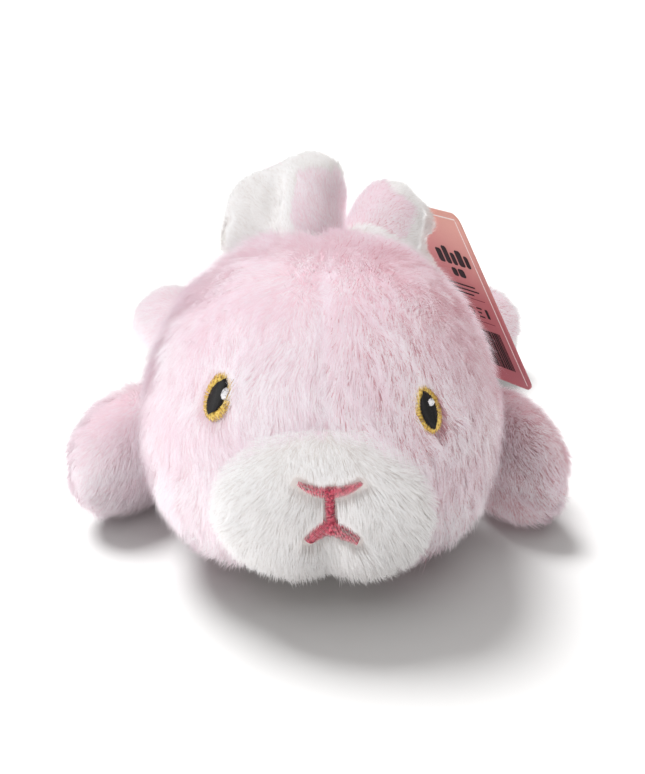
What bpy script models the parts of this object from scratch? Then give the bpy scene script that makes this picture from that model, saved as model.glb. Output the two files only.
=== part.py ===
"""A small plush rabbit lying on its belly, sewn from separate panels over stuffing.

Metres, +Z up. The rabbit faces -Y and its left side is +X. The origin is on the floor, at the
middle of the belly's flat rest face.
"""

import math

import bmesh
import bpy
from mathutils import Matrix, Vector

# Cloth
PILE_CLOTH = 0.0020          # thickness of a plush panel with its backing
EAR_CLOTH = 0.0013           # thinner cloth of the ears
SEAM_NUDGE = 0.00025         # how far each panel stops short of its seam line
CLEARANCE = 0.0005           # gap between a panel and the filling under it

# Head
HEAD_CENTRE = Vector((-0.0005, -0.0905, 0.0445))
HEAD_RADII = (0.0490, 0.0415, 0.0440)
HEAD_FULLNESS = 2.4          # 2 is an ellipsoid, more is boxier
HEAD_JOWLS = 0.4             # how much boxier the head gets below its middle
HEAD_JOWL_RATE = 1.6         # how soon below the middle the jowls are full
HEAD_TOP_TAPER = 0.12        # share of the width lost at the crown
HEAD_TAPER_FROM = -0.012     # height over the head's middle where the taper starts, and its run
HEAD_TAPER_RUN = 0.052
HEAD_TURN = math.radians(3)  # the face looks a little to the rabbit's left
HEAD_FLOOR = 0.0006
MUZZLE_TILT = math.radians(-17)
MUZZLE_HALF_WIDE = math.radians(39)
MUZZLE_HALF_HIGH = math.radians(31)
MUZZLE_PUFF = 0.0075
MUZZLE_FLATNESS = 2.6        # more keeps the puff full nearer to the seam
CLEFT_WIDTH = 0.10           # the dent below the nose, between the muzzle's two cheeks
CLEFT_TOP = 0.25
CLEFT_RUN = 0.5
CLEFT_DEPTH = 0.30
MUZZLE_RINGS = 5
HEAD_RINGS = 16
HEAD_SPOKES = 28
NAPE_RINGS = 3
CHIN_RINGS = 2
CHIN_HALF_SPOKES = 3
NECK_PIVOT = Vector((0, -0.0485, 0.0260))

# Face embroidery: each eye's direction from the head's middle, sideways and up
EYE_PLACES = {
    "right": (math.radians(-42), math.radians(18.5)),
    "left": (math.radians(36.5), math.radians(14.0)),
}
EYE_HALF = (0.0038, 0.0060)
EYE_RING_WIDTH = 0.0013
EYE_TILT = math.radians(10)
EYE_POINTS = 16
PATCH_LANES = 2              # rings of faces from a patch's inner outline to its outer one
GLINT_POINTS = 8
GLINT_THICK = 0.0004
GLINT_HALF = (0.0007, 0.0010)
GLINT_PLACE = (0.0010, 0.0018)
THREAD_GAP = 0.0003
EMBROIDERY_RISE = 0.0009
EMBROIDERY_THICK = 0.0008
NOSE_RISE = math.radians(14)
NOSE_HALF_WIDE = 0.0080
NOSE_HEIGHT = 0.0022
NOSE_STEPS = 12
STEM_GAP = 0.0006
STEM_LENGTH = 0.0115
STEM_STEPS = 6
MOUTH_GAP = 0.0012
MOUTH_REACH = 0.0066
MOUTH_DROP = 0.0042
MOUTH_CURVE = 1.5
THREAD_WIDTH = 0.0019
NOSE_WIDTHS = (0.22, 0.40)   # half width at the ends and what is added in the middle, in thread widths
MOUTH_WIDTHS = (0.30, 0.25)
STEM_HALF_WIDTH = 0.5

# Torso
TORSO_CENTRE = Vector((0, 0, 0.0220))
TORSO_RADII = (0.0430, 0.0490, 0.0275)
TORSO_FULLNESS = 2.2
TORSO_RINGS = 12
TORSO_SPOKES = 20
BELLY_RINGS = 5
POUCH_CENTRE = Vector((0, 0, 0.0078))
POUCH_RADII = (0.026, 0.030, 0.0042)
POUCH_FULLNESS = 2.4
POUCH_RINGS = 6
POUCH_SPOKES = 14
STUFFING_FLOOR = 0.0130

# Legs: joint, way the leg points, length from joint to tip, radii across and up
FORELEG = {
    "right": {"joint": Vector((-0.0415, -0.0400, 0.0180)), "tip": Vector((-0.0705, -0.0870, 0.0185))},
    "left": {"joint": Vector((0.0415, -0.0405, 0.0180)), "tip": Vector((0.0670, -0.0915, 0.0165))},
    "radii": (0.0120, 0.0185),
    "root": 0.0112,
}
HINDLEG = {
    "right": {"joint": Vector((-0.0465, 0.0290, 0.0150)), "tip": Vector((-0.0615, 0.0630, 0.0150))},
    "left": {"joint": Vector((0.0470, 0.0280, 0.0150)), "tip": Vector((0.0655, 0.0620, 0.0150))},
    "radii": (0.0135, 0.0145),
    "root": 0.0100,
}
FRONT_NAMES = ("front_paw_top", "front_paw_underside", "front_paw_stuffing")
HIND_NAMES = ("hind_foot_top", "hind_foot_sole", "hind_foot_stuffing")
LEG_RINGS = 9
LEG_SPOKES = 12
LEG_MIDDLE = 0.45            # shares of the length: the leg's core, and where its paw is widest
LEG_WIDEST = 0.55
PAW_BLUNTNESS = 2.3
LEG_FLOOR = 0.0012
TAIL_CENTRE = Vector((0, 0.0585, 0.0260))
TAIL_PIVOT = Vector((0, 0.0495, 0.0260))
TAIL_RADIUS = 0.0105
TAIL_BACKWARD = Vector((0, 1, 0.35)).normalized()
TAIL_RINGS = 8
TAIL_SPOKES = 12
TAIL_OPEN_RINGS = 2          # rings left open where the cover is sewn to the rump

# Ears: an open flap, a round fold along the inner edge and a lap that lies over the flap
EAR_THICK = 0.0072
EAR_EDGE_THIN = 0.45         # share of the thickness lost along the ear's rim
EAR_EDGE_RATE = 4
EAR_TIP_SOFTER = 1.15
EAR_FOLD_RADIUS = 0.0054
EAR_FOLD_TURN = math.radians(162)
EAR_FOLD_TIGHTER = 0.25      # share of the fold's radius lost at the tip
EAR_FOLD_FULL = 1.5          # the fold opens where the width is less than the whole over this
EAR_CUP = 0.0025
EAR_ROWS = 7
EAR_COLUMNS = 10
EAR_FLAP_SHARE = 0.4         # share of the columns on the flap, then the share up to the lap
EAR_FOLD_SHARE = 0.8
EAR_WIDEST = 0.4             # where along its length the ear is widest
EAR_ROOT_WIDTH = 1.10        # share of the greatest width at the root
EAR_TIP_BLUNT = 0.66         # nearer 0.6 the tip gets more pointed
NOTCH_PLACE = 0.60
NOTCH_SPREAD = 0.20
EAR_TIP_REACH = 0.32         # the tip falls away over this share of the cloth to either side
EAR_TIP_FALL = 0.24          # by this share of the length
LAP_FOOT = 0.05              # share of the length by which the lap's free corner reaches further down
EARS = {
    "right": {"root": Vector((-0.0035, -0.0605, 0.0805)), "back": 35, "aside": 2, "turn": 0,
              "length": 0.0285, "flap": 0.0240, "lap": 0.0100, "notch": 0.0, "tip": 0.42},
    "left": {"root": Vector((0.0124, -0.0596, 0.0812)), "back": 33, "aside": 44, "turn": 12,
             "length": 0.0218, "flap": 0.0270, "lap": 0.0095, "notch": 0.6, "tip": 0.18},
}

# Hang tag of card on a plastic loop
TAG_SIZE = (0.037, 0.0655, 0.0006)
TAG_CORNER = 0.0035
TAG_HOLE = 0.0018
TAG_HOLE_DROP = 0.0045
TAG_CORNER_STEPS = 5
TAG_HOLE_PLACE = Vector((0.0327, -0.0385, 0.0828))
TAG_UP = Vector((-0.410, -0.107, 0.906)).normalized()
TAG_ACROSS = Vector((0.470, -0.879, 0.109)).normalized()
PIN_SWEEP = 0.014            # how widely the pin curves between ear and card
FILAMENT = 0.0004            # radius of the plastic pin that holds the tag
PIN_BEAD = 0.0008            # its end inside the ear
PIN_PADDLE = 0.0024          # its flat end behind the card
PIN_PADDLE_THICK = 0.0007
PIN_NECK = 0.0001            # from the end of the filament to the paddle's full width
PIN_BEAD_ENDS = 0.7          # share of the bead's radius at its two ends
PIN_STEP = 0.0006            # between the sections of the bead
PIN_ENTRY = 0.0010           # how deep under the opening the bead sits
PIN_STANDOFF = 0.0012        # how far off the card the filament straightens
PIN_STEPS = 10
PIN_SIDES = 8
PIN_CELL = (2, 1)            # the place of the ear's edge that the pin passes
LABEL_SIZE = (0.014, 0.010, 0.0006)    # out from the seam, along it, thickness
LABEL_PLACE = (-0.018, 0.0485, 0.018)

CREASE = math.radians(40)    # edges sharper than this are shaded as edges
SLOPE_STEP = 0.01            # step for reading a sheet's slope


def clear_scene():
    for thing in list(bpy.data.objects):
        bpy.data.objects.remove(thing)


def principled(name, colour, roughness):
    made = bpy.data.materials.new(name)
    made.use_nodes = True
    shader = made.node_tree.nodes["Principled BSDF"]
    shader.inputs["Base Color"].default_value = (*colour, 1)
    shader.inputs["Roughness"].default_value = roughness
    shader.inputs["Metallic"].default_value = 0
    return made


def smooth_step(x):
    t = min(max(x, 0), 1)
    return t * t * (3 - 2 * t)


def pivot(name, place):
    """An empty on a joint's axis. The pieces that move with the joint are its children."""
    made = bpy.data.objects.new(name, None)
    bpy.context.scene.collection.objects.link(made)
    made.location = place
    return made


def add_object(name, points, faces, material, parent=None):
    """A mesh object from world points, set under its pivot and shaded smooth."""
    origin = parent.location.copy() if parent else Vector((0, 0, 0))
    mesh = bpy.data.meshes.new(name)
    mesh.from_pydata([p - origin for p in points], [], faces)
    work = bmesh.new()
    work.from_mesh(mesh)
    bmesh.ops.recalc_face_normals(work, faces=work.faces)
    work.to_mesh(mesh)
    work.free()
    mesh.shade_smooth()
    mesh.set_sharp_from_angle(angle=CREASE)
    made = bpy.data.objects.new(name, mesh)
    made.data.materials.append(material)
    made.parent = parent
    bpy.context.scene.collection.objects.link(made)
    return made


class Ball:
    """A closed rounded form as rings from one pole to the other.

    spot(ring, spoke, inset) gives a point of its surface, or of the surface inset below it.
    """

    def __init__(self, rings, spokes, surface, core):
        self.rings = rings
        self.spokes = spokes
        self.core = core
        self.skin = [[surface(k, j) for j in range(spokes)] for k in range(rings + 1)]

    def key(self, ring, spoke):
        if ring in (0, self.rings):
            return ring, 0
        return ring, spoke % self.spokes

    def corners(self, cell):
        k, j = cell
        found = [self.key(k, j), self.key(k, j + 1), self.key(k + 1, j + 1), self.key(k + 1, j)]
        return list(dict.fromkeys(found))

    def cells(self):
        return [(k, j) for k in range(self.rings) for j in range(self.spokes)]

    def spot(self, key, inset):
        point = self.skin[key[0]][key[1]]
        reach = point - self.core
        return self.core + reach * (1 - inset / reach.length)


class Sheet:
    """A thick flap as rows and columns of a middle surface.

    A depth is a pair: the face it is counted from, front or back, and the distance below that face.
    """

    def __init__(self, rows, columns, surface, half_thick, front_sign):
        self.rows = rows
        self.columns = columns
        self.surface = surface
        self.half_thick = half_thick
        self.front_sign = front_sign

    def corners(self, cell):
        k, j = cell
        return [(k, j), (k, j + 1), (k + 1, j + 1), (k + 1, j)]

    def cells(self):
        return [(k, j) for k in range(self.rows) for j in range(self.columns)]

    def spot(self, key, depth):
        face, distance = depth
        u = key[0] / self.rows
        v = key[1] / self.columns
        along = self.surface(u + SLOPE_STEP, v) - self.surface(u - SLOPE_STEP, v)
        across = self.surface(u, v + SLOPE_STEP) - self.surface(u, v - SLOPE_STEP)
        to_front = across.cross(along).normalized() * self.front_sign
        half = self.half_thick(u, v)
        lift = half - distance if face == "front" else distance - half
        return self.surface(u, v) + to_front * lift


def split(loop):
    """A cell's corners as one or two triangles, always along the same diagonal."""
    if len(loop) == 3:
        return [list(loop)]
    a, b, c, d = loop
    return [[a, b, c], [a, c, d]]


def panel(name, form, cells, outer, inner, material, parent=None, nudge=SEAM_NUDGE):
    """One closed solid over the given cells, between two depths below the form's surface."""
    chosen = [triangle for cell in cells for triangle in split(form.corners(cell))]
    edges = {}
    for loop in chosen:
        for a, b in zip(loop, loop[1:] + loop[:1]):
            edges.setdefault(frozenset((a, b)), []).append((a, b))
    rim = [pairs[0] for pairs in edges.values() if len(pairs) == 1]
    on_rim = {key for pair in rim for key in pair}
    keys = sorted({key for loop in chosen for key in loop})
    points = []
    for depth in (outer, inner):
        for key in keys:
            place = form.spot(key, depth)
            if key in on_rim and nudge:
                near = [other for loop in chosen if key in loop for other in loop]
                middle = sum((form.spot(other, depth) for other in near), Vector()) / len(near)
                place += (middle - place).normalized() * nudge
            points.append(place)
    index = {key: n for n, key in enumerate(keys)}
    below = len(keys)
    faces = [[index[key] for key in loop] for loop in chosen]
    faces += [[index[key] + below for key in reversed(loop)] for loop in chosen]
    faces += [[index[b], index[a], index[a] + below, index[b] + below] for a, b in rim]
    return add_object(name, points, faces, material, parent)


def filling(name, form, depth, material, parent=None, floor=None):
    """The stuffing: the whole form, inset below its panels. A floor cuts it flat underneath."""
    cells = form.cells()
    keys = sorted({key for cell in cells for key in form.corners(cell)})
    index = {key: n for n, key in enumerate(keys)}
    points = [form.spot(key, depth) for key in keys]
    if floor is not None:
        points = [Vector((p.x, p.y, max(p.z, floor))) for p in points]
    faces = [[index[key] for key in part] for cell in cells for part in split(form.corners(cell))]
    return add_object(name, points, faces, material, parent)


def sphere_direction(away, spin):
    """A unit vector at an angle from +Z and a turn about it."""
    return Vector((math.sin(away) * math.cos(spin), math.sin(away) * math.sin(spin), math.cos(away)))


def superellipsoid(direction, radii, power):
    """The point of a boxy ellipsoid along a direction from its middle."""
    total = sum(abs(d / r) ** power for d, r in zip(direction, radii))
    return direction * total ** (-1 / power)


# ---------------------------------------------------------------- head


def muzzle_edge(spin):
    """Angle from the muzzle's middle to its seam, for a direction round the muzzle."""
    wide = math.cos(spin) / MUZZLE_HALF_WIDE
    high = math.sin(spin) / MUZZLE_HALF_HIGH
    return 1 / math.hypot(wide, high)


def face_axes():
    """Forward to the muzzle's middle, to the rabbit's left, and up along the face."""
    turn = Matrix.Rotation(HEAD_TURN, 3, "Z")
    forward = turn @ Vector((0, -math.cos(MUZZLE_TILT), math.sin(MUZZLE_TILT)))
    side = turn @ Vector((1, 0, 0))
    return forward, side, side.cross(forward) * -1


def head_skin(direction):
    """A point of the head's outside. Inside the muzzle's seam the surface puffs out in two cheeks."""
    forward, side, up = face_axes()
    power = HEAD_FULLNESS + HEAD_JOWLS * smooth_step(-HEAD_JOWL_RATE * direction.z)
    place = superellipsoid(direction, HEAD_RADII, power)
    place.x *= 1 - HEAD_TOP_TAPER * smooth_step((place.z - HEAD_TAPER_FROM) / HEAD_TAPER_RUN)
    across = direction.dot(side)
    rise = direction.dot(up)
    away = math.acos(max(-1, min(1, direction.dot(forward))))
    spin = math.atan2(rise, across)
    share = away / muzzle_edge(spin)
    if share < 1:
        puff = MUZZLE_PUFF * math.sqrt(1 - share ** MUZZLE_FLATNESS)
        cleft = math.exp(-(across / CLEFT_WIDTH) ** 2) * smooth_step((CLEFT_TOP - rise) / CLEFT_RUN)
        place += direction * puff * (1 - CLEFT_DEPTH * cleft)
    place += HEAD_CENTRE
    place.z = max(place.z, HEAD_FLOOR)
    return place


def head_form():
    """The head as rings round the muzzle's middle, so that the muzzle's seam is one of them."""
    forward, side, up = face_axes()

    def surface(ring, spoke):
        spin = 2 * math.pi * spoke / HEAD_SPOKES
        edge = muzzle_edge(spin)
        if ring <= MUZZLE_RINGS:
            away = edge * ring / MUZZLE_RINGS
        else:
            away = edge + (math.pi - edge) * (ring - MUZZLE_RINGS) / (HEAD_RINGS - MUZZLE_RINGS)
        round_spin = side * math.cos(spin) + up * math.sin(spin)
        return head_skin(forward * math.cos(away) + round_spin * math.sin(away))

    return Ball(HEAD_RINGS, HEAD_SPOKES, surface, HEAD_CENTRE)


def build_head(cloth, parent):
    """Muzzle, chin, two sides and nape, over one filling."""
    form = head_form()
    quarter = HEAD_SPOKES // 4
    chin_first = 3 * quarter - CHIN_HALF_SPOKES
    chin_last = 3 * quarter + CHIN_HALF_SPOKES
    nape = HEAD_RINGS - NAPE_RINGS
    groups = {"muzzle_panel": [], "chin_panel": [], "head_left_panel": [], "head_right_panel": [],
              "head_back_panel": []}
    for ring, spoke in form.cells():
        if ring < MUZZLE_RINGS:
            groups["muzzle_panel"].append((ring, spoke))
        elif ring >= nape:
            groups["head_back_panel"].append((ring, spoke))
        elif ring < MUZZLE_RINGS + CHIN_RINGS and chin_first <= spoke < chin_last:
            groups["chin_panel"].append((ring, spoke))
        elif spoke < quarter or spoke >= 3 * quarter:
            groups["head_left_panel"].append((ring, spoke))
        else:
            groups["head_right_panel"].append((ring, spoke))
    for name, cells in groups.items():
        material = cloth["white"] if name in ("muzzle_panel", "chin_panel") else cloth["pink"]
        panel(name, form, cells, 0, PILE_CLOTH, material, parent)
    filling("head_stuffing", form, PILE_CLOTH + CLEARANCE, cloth["fibre"], parent)


# ---------------------------------------------------------------- face embroidery


def patch(name, outlines, to_head, heights, material, parent):
    """A raised ring or disc of thread that follows the head. The outlines are loops of face offsets.

    With no inner outline the patch is a disc around the outer outline's middle. The heights are its
    underside's and its top's.
    """
    outline_in, outline_out = outlines
    count = len(outline_out)
    middle = sum((Vector(p) for p in outline_out), Vector((0, 0))) / count
    inner = outline_in or [middle] * count
    lanes = PATCH_LANES
    rows = []
    for lane in range(lanes + 1):
        share = lane / lanes
        rows.append([Vector(inner[n]).lerp(Vector(outline_out[n]), share) for n in range(count)])
    start = 0 if outline_in else 1
    keys = [(lane, n) for lane in range(start, lanes + 1) for n in range(count)]
    if not outline_in:
        keys.insert(0, (0, 0))
    index = {key: n for n, key in enumerate(keys)}
    points = [to_head(rows[a][b], height) for height in reversed(heights) for a, b in keys]
    loops = []
    for lane in range(lanes):
        for n in range(count):
            m = (n + 1) % count
            quad = [(lane, n), (lane, m), (lane + 1, m), (lane + 1, n)]
            if lane == 0 and not outline_in:
                quad = [(0, 0), (1, m), (1, n)]
            loops.append(quad)
    below = len(keys)
    faces = [[index[key] for key in loop] for loop in loops]
    faces += [[index[key] + below for key in reversed(loop)] for loop in loops]
    rims = [lanes, 0] if outline_in else [lanes]
    for lane in rims:
        for n in range(count):
            a = index[(lane, n)]
            b = index[(lane, (n + 1) % count)]
            faces.append([a, b, b + below, a + below])
    return add_object(name, points, faces, material, parent)


def on_head(direction_middle, roll):
    """Maps offsets in a face plane, in metres, to points over the head along that direction."""
    side = face_axes()[1]
    across = Vector((0, 0, 1)).cross(direction_middle).normalized() * -1
    across = across if across.dot(side) > 0 else -across
    high = direction_middle.cross(across)
    high = high if high.z > 0 else -high
    turned_across = across * math.cos(roll) + high * math.sin(roll)
    turned_high = high * math.cos(roll) - across * math.sin(roll)
    reach = (head_skin(direction_middle) - HEAD_CENTRE).length

    def place(offset, lift):
        aim = direction_middle * reach + turned_across * offset[0] + turned_high * offset[1]
        skin = head_skin(aim.normalized())
        return skin + (skin - HEAD_CENTRE).normalized() * lift

    return place


def ellipse(half_wide, half_high, count, middle=(0, 0)):
    """A loop of face offsets round an ellipse."""
    turns = [2 * math.pi * n / count for n in range(count)]
    return [(middle[0] + half_wide * math.cos(t), middle[1] + half_high * math.sin(t)) for t in turns]


def build_eye(side_name, thread, parent):
    """Ring, pupil inside it and a glint laid over the pupil."""
    sideways, up = EYE_PLACES[side_name]
    turn = Matrix.Rotation(HEAD_TURN + sideways, 3, "Z")
    middle = turn @ Vector((0, -math.cos(up), math.sin(up)))
    lean = EYE_TILT if side_name == "right" else -EYE_TILT
    to_head = on_head(middle, -lean)
    outer = ellipse(*EYE_HALF, EYE_POINTS)
    rim = ellipse(EYE_HALF[0] - EYE_RING_WIDTH, EYE_HALF[1] - EYE_RING_WIDTH, EYE_POINTS)
    inside = EYE_RING_WIDTH + THREAD_GAP
    pupil = ellipse(EYE_HALF[0] - inside, EYE_HALF[1] - inside, EYE_POINTS)
    glint = ellipse(*GLINT_HALF, GLINT_POINTS, GLINT_PLACE)
    heights = (EMBROIDERY_RISE, EMBROIDERY_RISE + EMBROIDERY_THICK)
    above = heights[1] + THREAD_GAP
    patch(side_name + "_eye_ring", (rim, outer), to_head, heights, thread["gold"], parent)
    patch(side_name + "_eye_pupil", (None, pupil), to_head, heights, thread["black"], parent)
    patch(side_name + "_eye_highlight", (None, glint), to_head, (above, above + GLINT_THICK),
          thread["white"], parent)


def ribbon(name, path, half_width, to_head, material, parent):
    """A raised satin bar along a path of face offsets."""
    count = len(path)
    points = []
    for depth in (EMBROIDERY_RISE + EMBROIDERY_THICK, EMBROIDERY_RISE):
        for n, spot in enumerate(path):
            before = Vector(path[max(n - 1, 0)])
            after = Vector(path[min(n + 1, count - 1)])
            along = (after - before).normalized()
            across = Vector((-along.y, along.x)) * half_width(n / (count - 1))
            points.append(to_head(Vector(spot) + across, depth))
            points.append(to_head(Vector(spot) - across, depth))
    below = 2 * count
    faces = []
    for n in range(count - 1):
        a = 2 * n
        faces.append([a, a + 1, a + 3, a + 2])
        faces.append([a + below + 2, a + below + 3, a + below + 1, a + below])
        faces.append([a, a + 2, a + 2 + below, a + below])
        faces.append([a + 3, a + 1, a + 1 + below, a + 3 + below])
    last = 2 * (count - 1)
    faces.append([1, 0, below, below + 1])
    faces.append([last, last + 1, last + 1 + below, last + below])
    return add_object(name, points, faces, material, parent)


def swelling(widths):
    """Half width along a bar that is thickest in its middle."""
    ends, added = widths
    return lambda s: THREAD_WIDTH * (ends + added * math.sin(math.pi * s))


def build_nose(thread, parent):
    """The nose as a sagging bar, the stem under it and the mouth as a low arch."""
    forward, _, up = face_axes()
    to_head = on_head(forward * math.cos(NOSE_RISE) + up * math.sin(NOSE_RISE), 0)
    rose = thread["rose"]
    spans = [2 * n / NOSE_STEPS - 1 for n in range(NOSE_STEPS + 1)]
    bar = [(x * NOSE_HALF_WIDE, -NOSE_HEIGHT * (1 - x * x)) for x in spans]
    ribbon("nose_embroidery", bar, swelling(NOSE_WIDTHS), to_head, rose, parent)
    top = -NOSE_HEIGHT - THREAD_WIDTH * sum(NOSE_WIDTHS) - STEM_GAP
    stem = [(0, top - STEM_LENGTH * n / STEM_STEPS) for n in range(STEM_STEPS + 1)]
    ribbon("philtrum_embroidery", stem, lambda s: THREAD_WIDTH * STEM_HALF_WIDTH, to_head, rose, parent)
    low = top - STEM_LENGTH - MOUTH_GAP
    arch = [(x * MOUTH_REACH, low - MOUTH_DROP * abs(x) ** MOUTH_CURVE) for x in spans]
    ribbon("mouth_embroidery", arch, swelling(MOUTH_WIDTHS), to_head, rose, parent)


# ---------------------------------------------------------------- torso


def torso_form():
    """The torso as rings from its underside up, cut flat where it lies on the floor."""
    def surface(ring, spoke):
        away = math.pi * (1 - ring / TORSO_RINGS)
        spin = 2 * math.pi * spoke / TORSO_SPOKES + math.pi / 2
        place = superellipsoid(sphere_direction(away, spin), TORSO_RADII, TORSO_FULLNESS) + TORSO_CENTRE
        place.z = max(place.z, 0)
        return place

    return Ball(TORSO_RINGS, TORSO_SPOKES, surface, TORSO_CENTRE)


def build_torso(cloth):
    """Belly and two back panels over the filling, with a pouch of beans low in the belly."""
    form = torso_form()
    half = TORSO_SPOKES // 2
    belly = [c for c in form.cells() if c[0] < BELLY_RINGS]
    right = [c for c in form.cells() if c[0] >= BELLY_RINGS and c[1] < half]
    left = [c for c in form.cells() if c[0] >= BELLY_RINGS and c[1] >= half]
    panel("belly_panel", form, belly, 0, PILE_CLOTH, cloth["pink"])
    panel("back_right_panel", form, right, 0, PILE_CLOTH, cloth["pink"])
    panel("back_left_panel", form, left, 0, PILE_CLOTH, cloth["pink"])
    filling("torso_stuffing", form, PILE_CLOTH + CLEARANCE, cloth["fibre"], None, STUFFING_FLOOR)

    def pouch(ring, spoke):
        direction = sphere_direction(math.pi * ring / POUCH_RINGS, 2 * math.pi * spoke / POUCH_SPOKES)
        return superellipsoid(direction, POUCH_RADII, POUCH_FULLNESS) + POUCH_CENTRE

    filling("bean_pouch", Ball(POUCH_RINGS, POUCH_SPOKES, pouch, POUCH_CENTRE), 0, cloth["pouch"])


# ---------------------------------------------------------------- legs and tail


def leg_form(joint, tip, radii, root):
    """A stuffed leg: a ball round its joint that swells into a rounded paw."""
    along = tip - joint
    length = along.length
    forward = along.normalized()
    side = Vector((0, 0, 1)).cross(forward).normalized()
    up = forward.cross(side)
    middle = joint + forward * length * LEG_MIDDLE

    def section(s):
        """Distance along the leg from the joint, and the radii there, for s from root to tip."""
        reach = -root + (length + root) * (1 - math.cos(math.pi * s)) / 2
        if reach < 0:
            ball = math.sqrt(max(root ** 2 - reach ** 2, 0))
            return reach, ball, ball
        share = reach / length
        swell = smooth_step(share / LEG_WIDEST)
        beyond = max((share - LEG_WIDEST) / (1 - LEG_WIDEST), 0)
        end = math.sqrt(max(1 - beyond ** PAW_BLUNTNESS, 0))
        wide = (root + (radii[0] - root) * swell) * end
        high = (root + (radii[1] - root) * swell) * end
        return reach, wide, high

    def surface(ring, spoke):
        reach, wide, high = section(ring / LEG_RINGS)
        spin = 2 * math.pi * spoke / LEG_SPOKES
        place = joint + forward * reach + side * wide * math.cos(spin) + up * high * math.sin(spin)
        place.z = max(place.z, LEG_FLOOR)
        return place

    return Ball(LEG_RINGS, LEG_SPOKES, surface, middle)


def build_leg(side_name, leg, names, lower_cloth, cloth):
    """One leg: a top panel, a lower panel and the filling."""
    joint = leg[side_name]["joint"]
    parent = pivot(side_name + "_" + names[0] + "_pivot", joint)
    form = leg_form(joint, leg[side_name]["tip"], leg["radii"], leg["root"])
    half = LEG_SPOKES // 2
    top = [c for c in form.cells() if c[1] < half]
    under = [c for c in form.cells() if c[1] >= half]
    panel(side_name + "_" + names[0], form, top, 0, PILE_CLOTH, cloth["pink"], parent)
    panel(side_name + "_" + names[1], form, under, 0, PILE_CLOTH, lower_cloth, parent)
    filling(side_name + "_" + names[2], form, PILE_CLOTH + CLEARANCE, cloth["fibre"], parent)


def build_tail(cloth):
    """A round tail whose cover is open where it is sewn to the rump, with its filling inside."""
    parent = pivot("tail_pivot", TAIL_PIVOT)
    side = Vector((1, 0, 0))
    up = side.cross(TAIL_BACKWARD)

    def surface(ring, spoke):
        away = math.pi * ring / TAIL_RINGS
        spin = 2 * math.pi * spoke / TAIL_SPOKES
        round_spin = side * math.cos(spin) + up * math.sin(spin)
        direction = round_spin * math.sin(away) - TAIL_BACKWARD * math.cos(away)
        return TAIL_CENTRE + direction * TAIL_RADIUS

    form = Ball(TAIL_RINGS, TAIL_SPOKES, surface, TAIL_CENTRE)
    covered = [c for c in form.cells() if c[0] >= TAIL_OPEN_RINGS]
    panel("tail_cover", form, covered, 0, PILE_CLOTH, cloth["white"], parent)
    filling("tail_stuffing", form, PILE_CLOTH + CLEARANCE, cloth["fibre"], parent)


# ---------------------------------------------------------------- ears


def ear_axes(ear, sign):
    """Along the ear from root to tip, across it to the rabbit's middle, and back from its face."""
    aside = Matrix.Rotation(math.radians(ear["aside"]), 3, "Y")
    back = Matrix.Rotation(math.radians(-ear["back"]), 3, "X")
    turn = Matrix.Rotation(math.radians(ear["turn"]), 3, "Z")
    frame = turn @ aside @ back
    return frame @ Vector((0, 0, 1)), frame @ Vector((-sign, 0, 0)), frame @ Vector((0, 1, 0))


def ear_width(u):
    """Share of the full width at a share u of the length: narrow root, broad middle, round tip."""
    if u < EAR_WIDEST:
        return EAR_ROOT_WIDTH + (1 - EAR_ROOT_WIDTH) * math.sin(math.pi / 2 * max(u, 0) / EAR_WIDEST)
    return math.sqrt(1 - ((u - EAR_WIDEST) / EAR_TIP_BLUNT) ** 2)


def ear_section(ear, u, v):
    """Distance inward and distance forward of the ear's middle surface, at shares u along and v across."""
    swell = ear_width(u)
    if v < EAR_FLAP_SHARE:
        out = 1 - v / EAR_FLAP_SHARE
        pinch = 1 - ear["notch"] * math.exp(-((u - NOTCH_PLACE) / NOTCH_SPREAD) ** 2)
        return -ear["flap"] * swell * pinch * out, EAR_CUP * out ** 2
    radius = EAR_FOLD_RADIUS * (1 - EAR_FOLD_TIGHTER * (1 - swell))
    turn = EAR_FOLD_TURN * min(1, EAR_FOLD_FULL * swell)
    bend = turn * min(1, (v - EAR_FLAP_SHARE) / (EAR_FOLD_SHARE - EAR_FLAP_SHARE))
    lap = ear["lap"] * swell * max(0, (v - EAR_FOLD_SHARE) / (1 - EAR_FOLD_SHARE))
    across = radius * math.sin(bend) + lap * math.cos(bend)
    forward = radius * (1 - math.cos(bend)) + lap * math.sin(bend)
    return across, forward


def ear_reach(ear, u, v):
    """Share of the length reached at shares u along and v across, with a round tip and a long lap corner."""
    aside = min(1, abs(v - ear["tip"]) / EAR_TIP_REACH)
    foot = max(0, (v - EAR_FOLD_SHARE) / (1 - EAR_FOLD_SHARE))
    return u - EAR_TIP_FALL * aside ** 2 * u ** 3 - LAP_FOOT * foot * (1 - u)


def ear_sheet(side_name):
    """The ear's flap lies open to the side, and its inner edge is folded forward over it."""
    ear = EARS[side_name]
    sign = 1 if side_name == "left" else -1
    along, inward, backward = ear_axes(ear, sign)

    def surface(u, v):
        across, forward = ear_section(ear, u, v)
        arch = EAR_CUP * math.sin(math.pi * min(max(u, 0), 1))
        reach = ear["length"] * ear_reach(ear, u, v)
        return ear["root"] + along * reach + inward * across + backward * (arch - forward)

    def half_thick(u, v):
        edge = EAR_EDGE_RATE * min(v, 1 - v, EAR_TIP_SOFTER - u)
        full = math.sqrt(min(max(edge, 0), 1))
        return EAR_THICK / 2 * (1 - EAR_EDGE_THIN * (1 - full))

    return Sheet(EAR_ROWS, EAR_COLUMNS, surface, half_thick, -sign)


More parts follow.
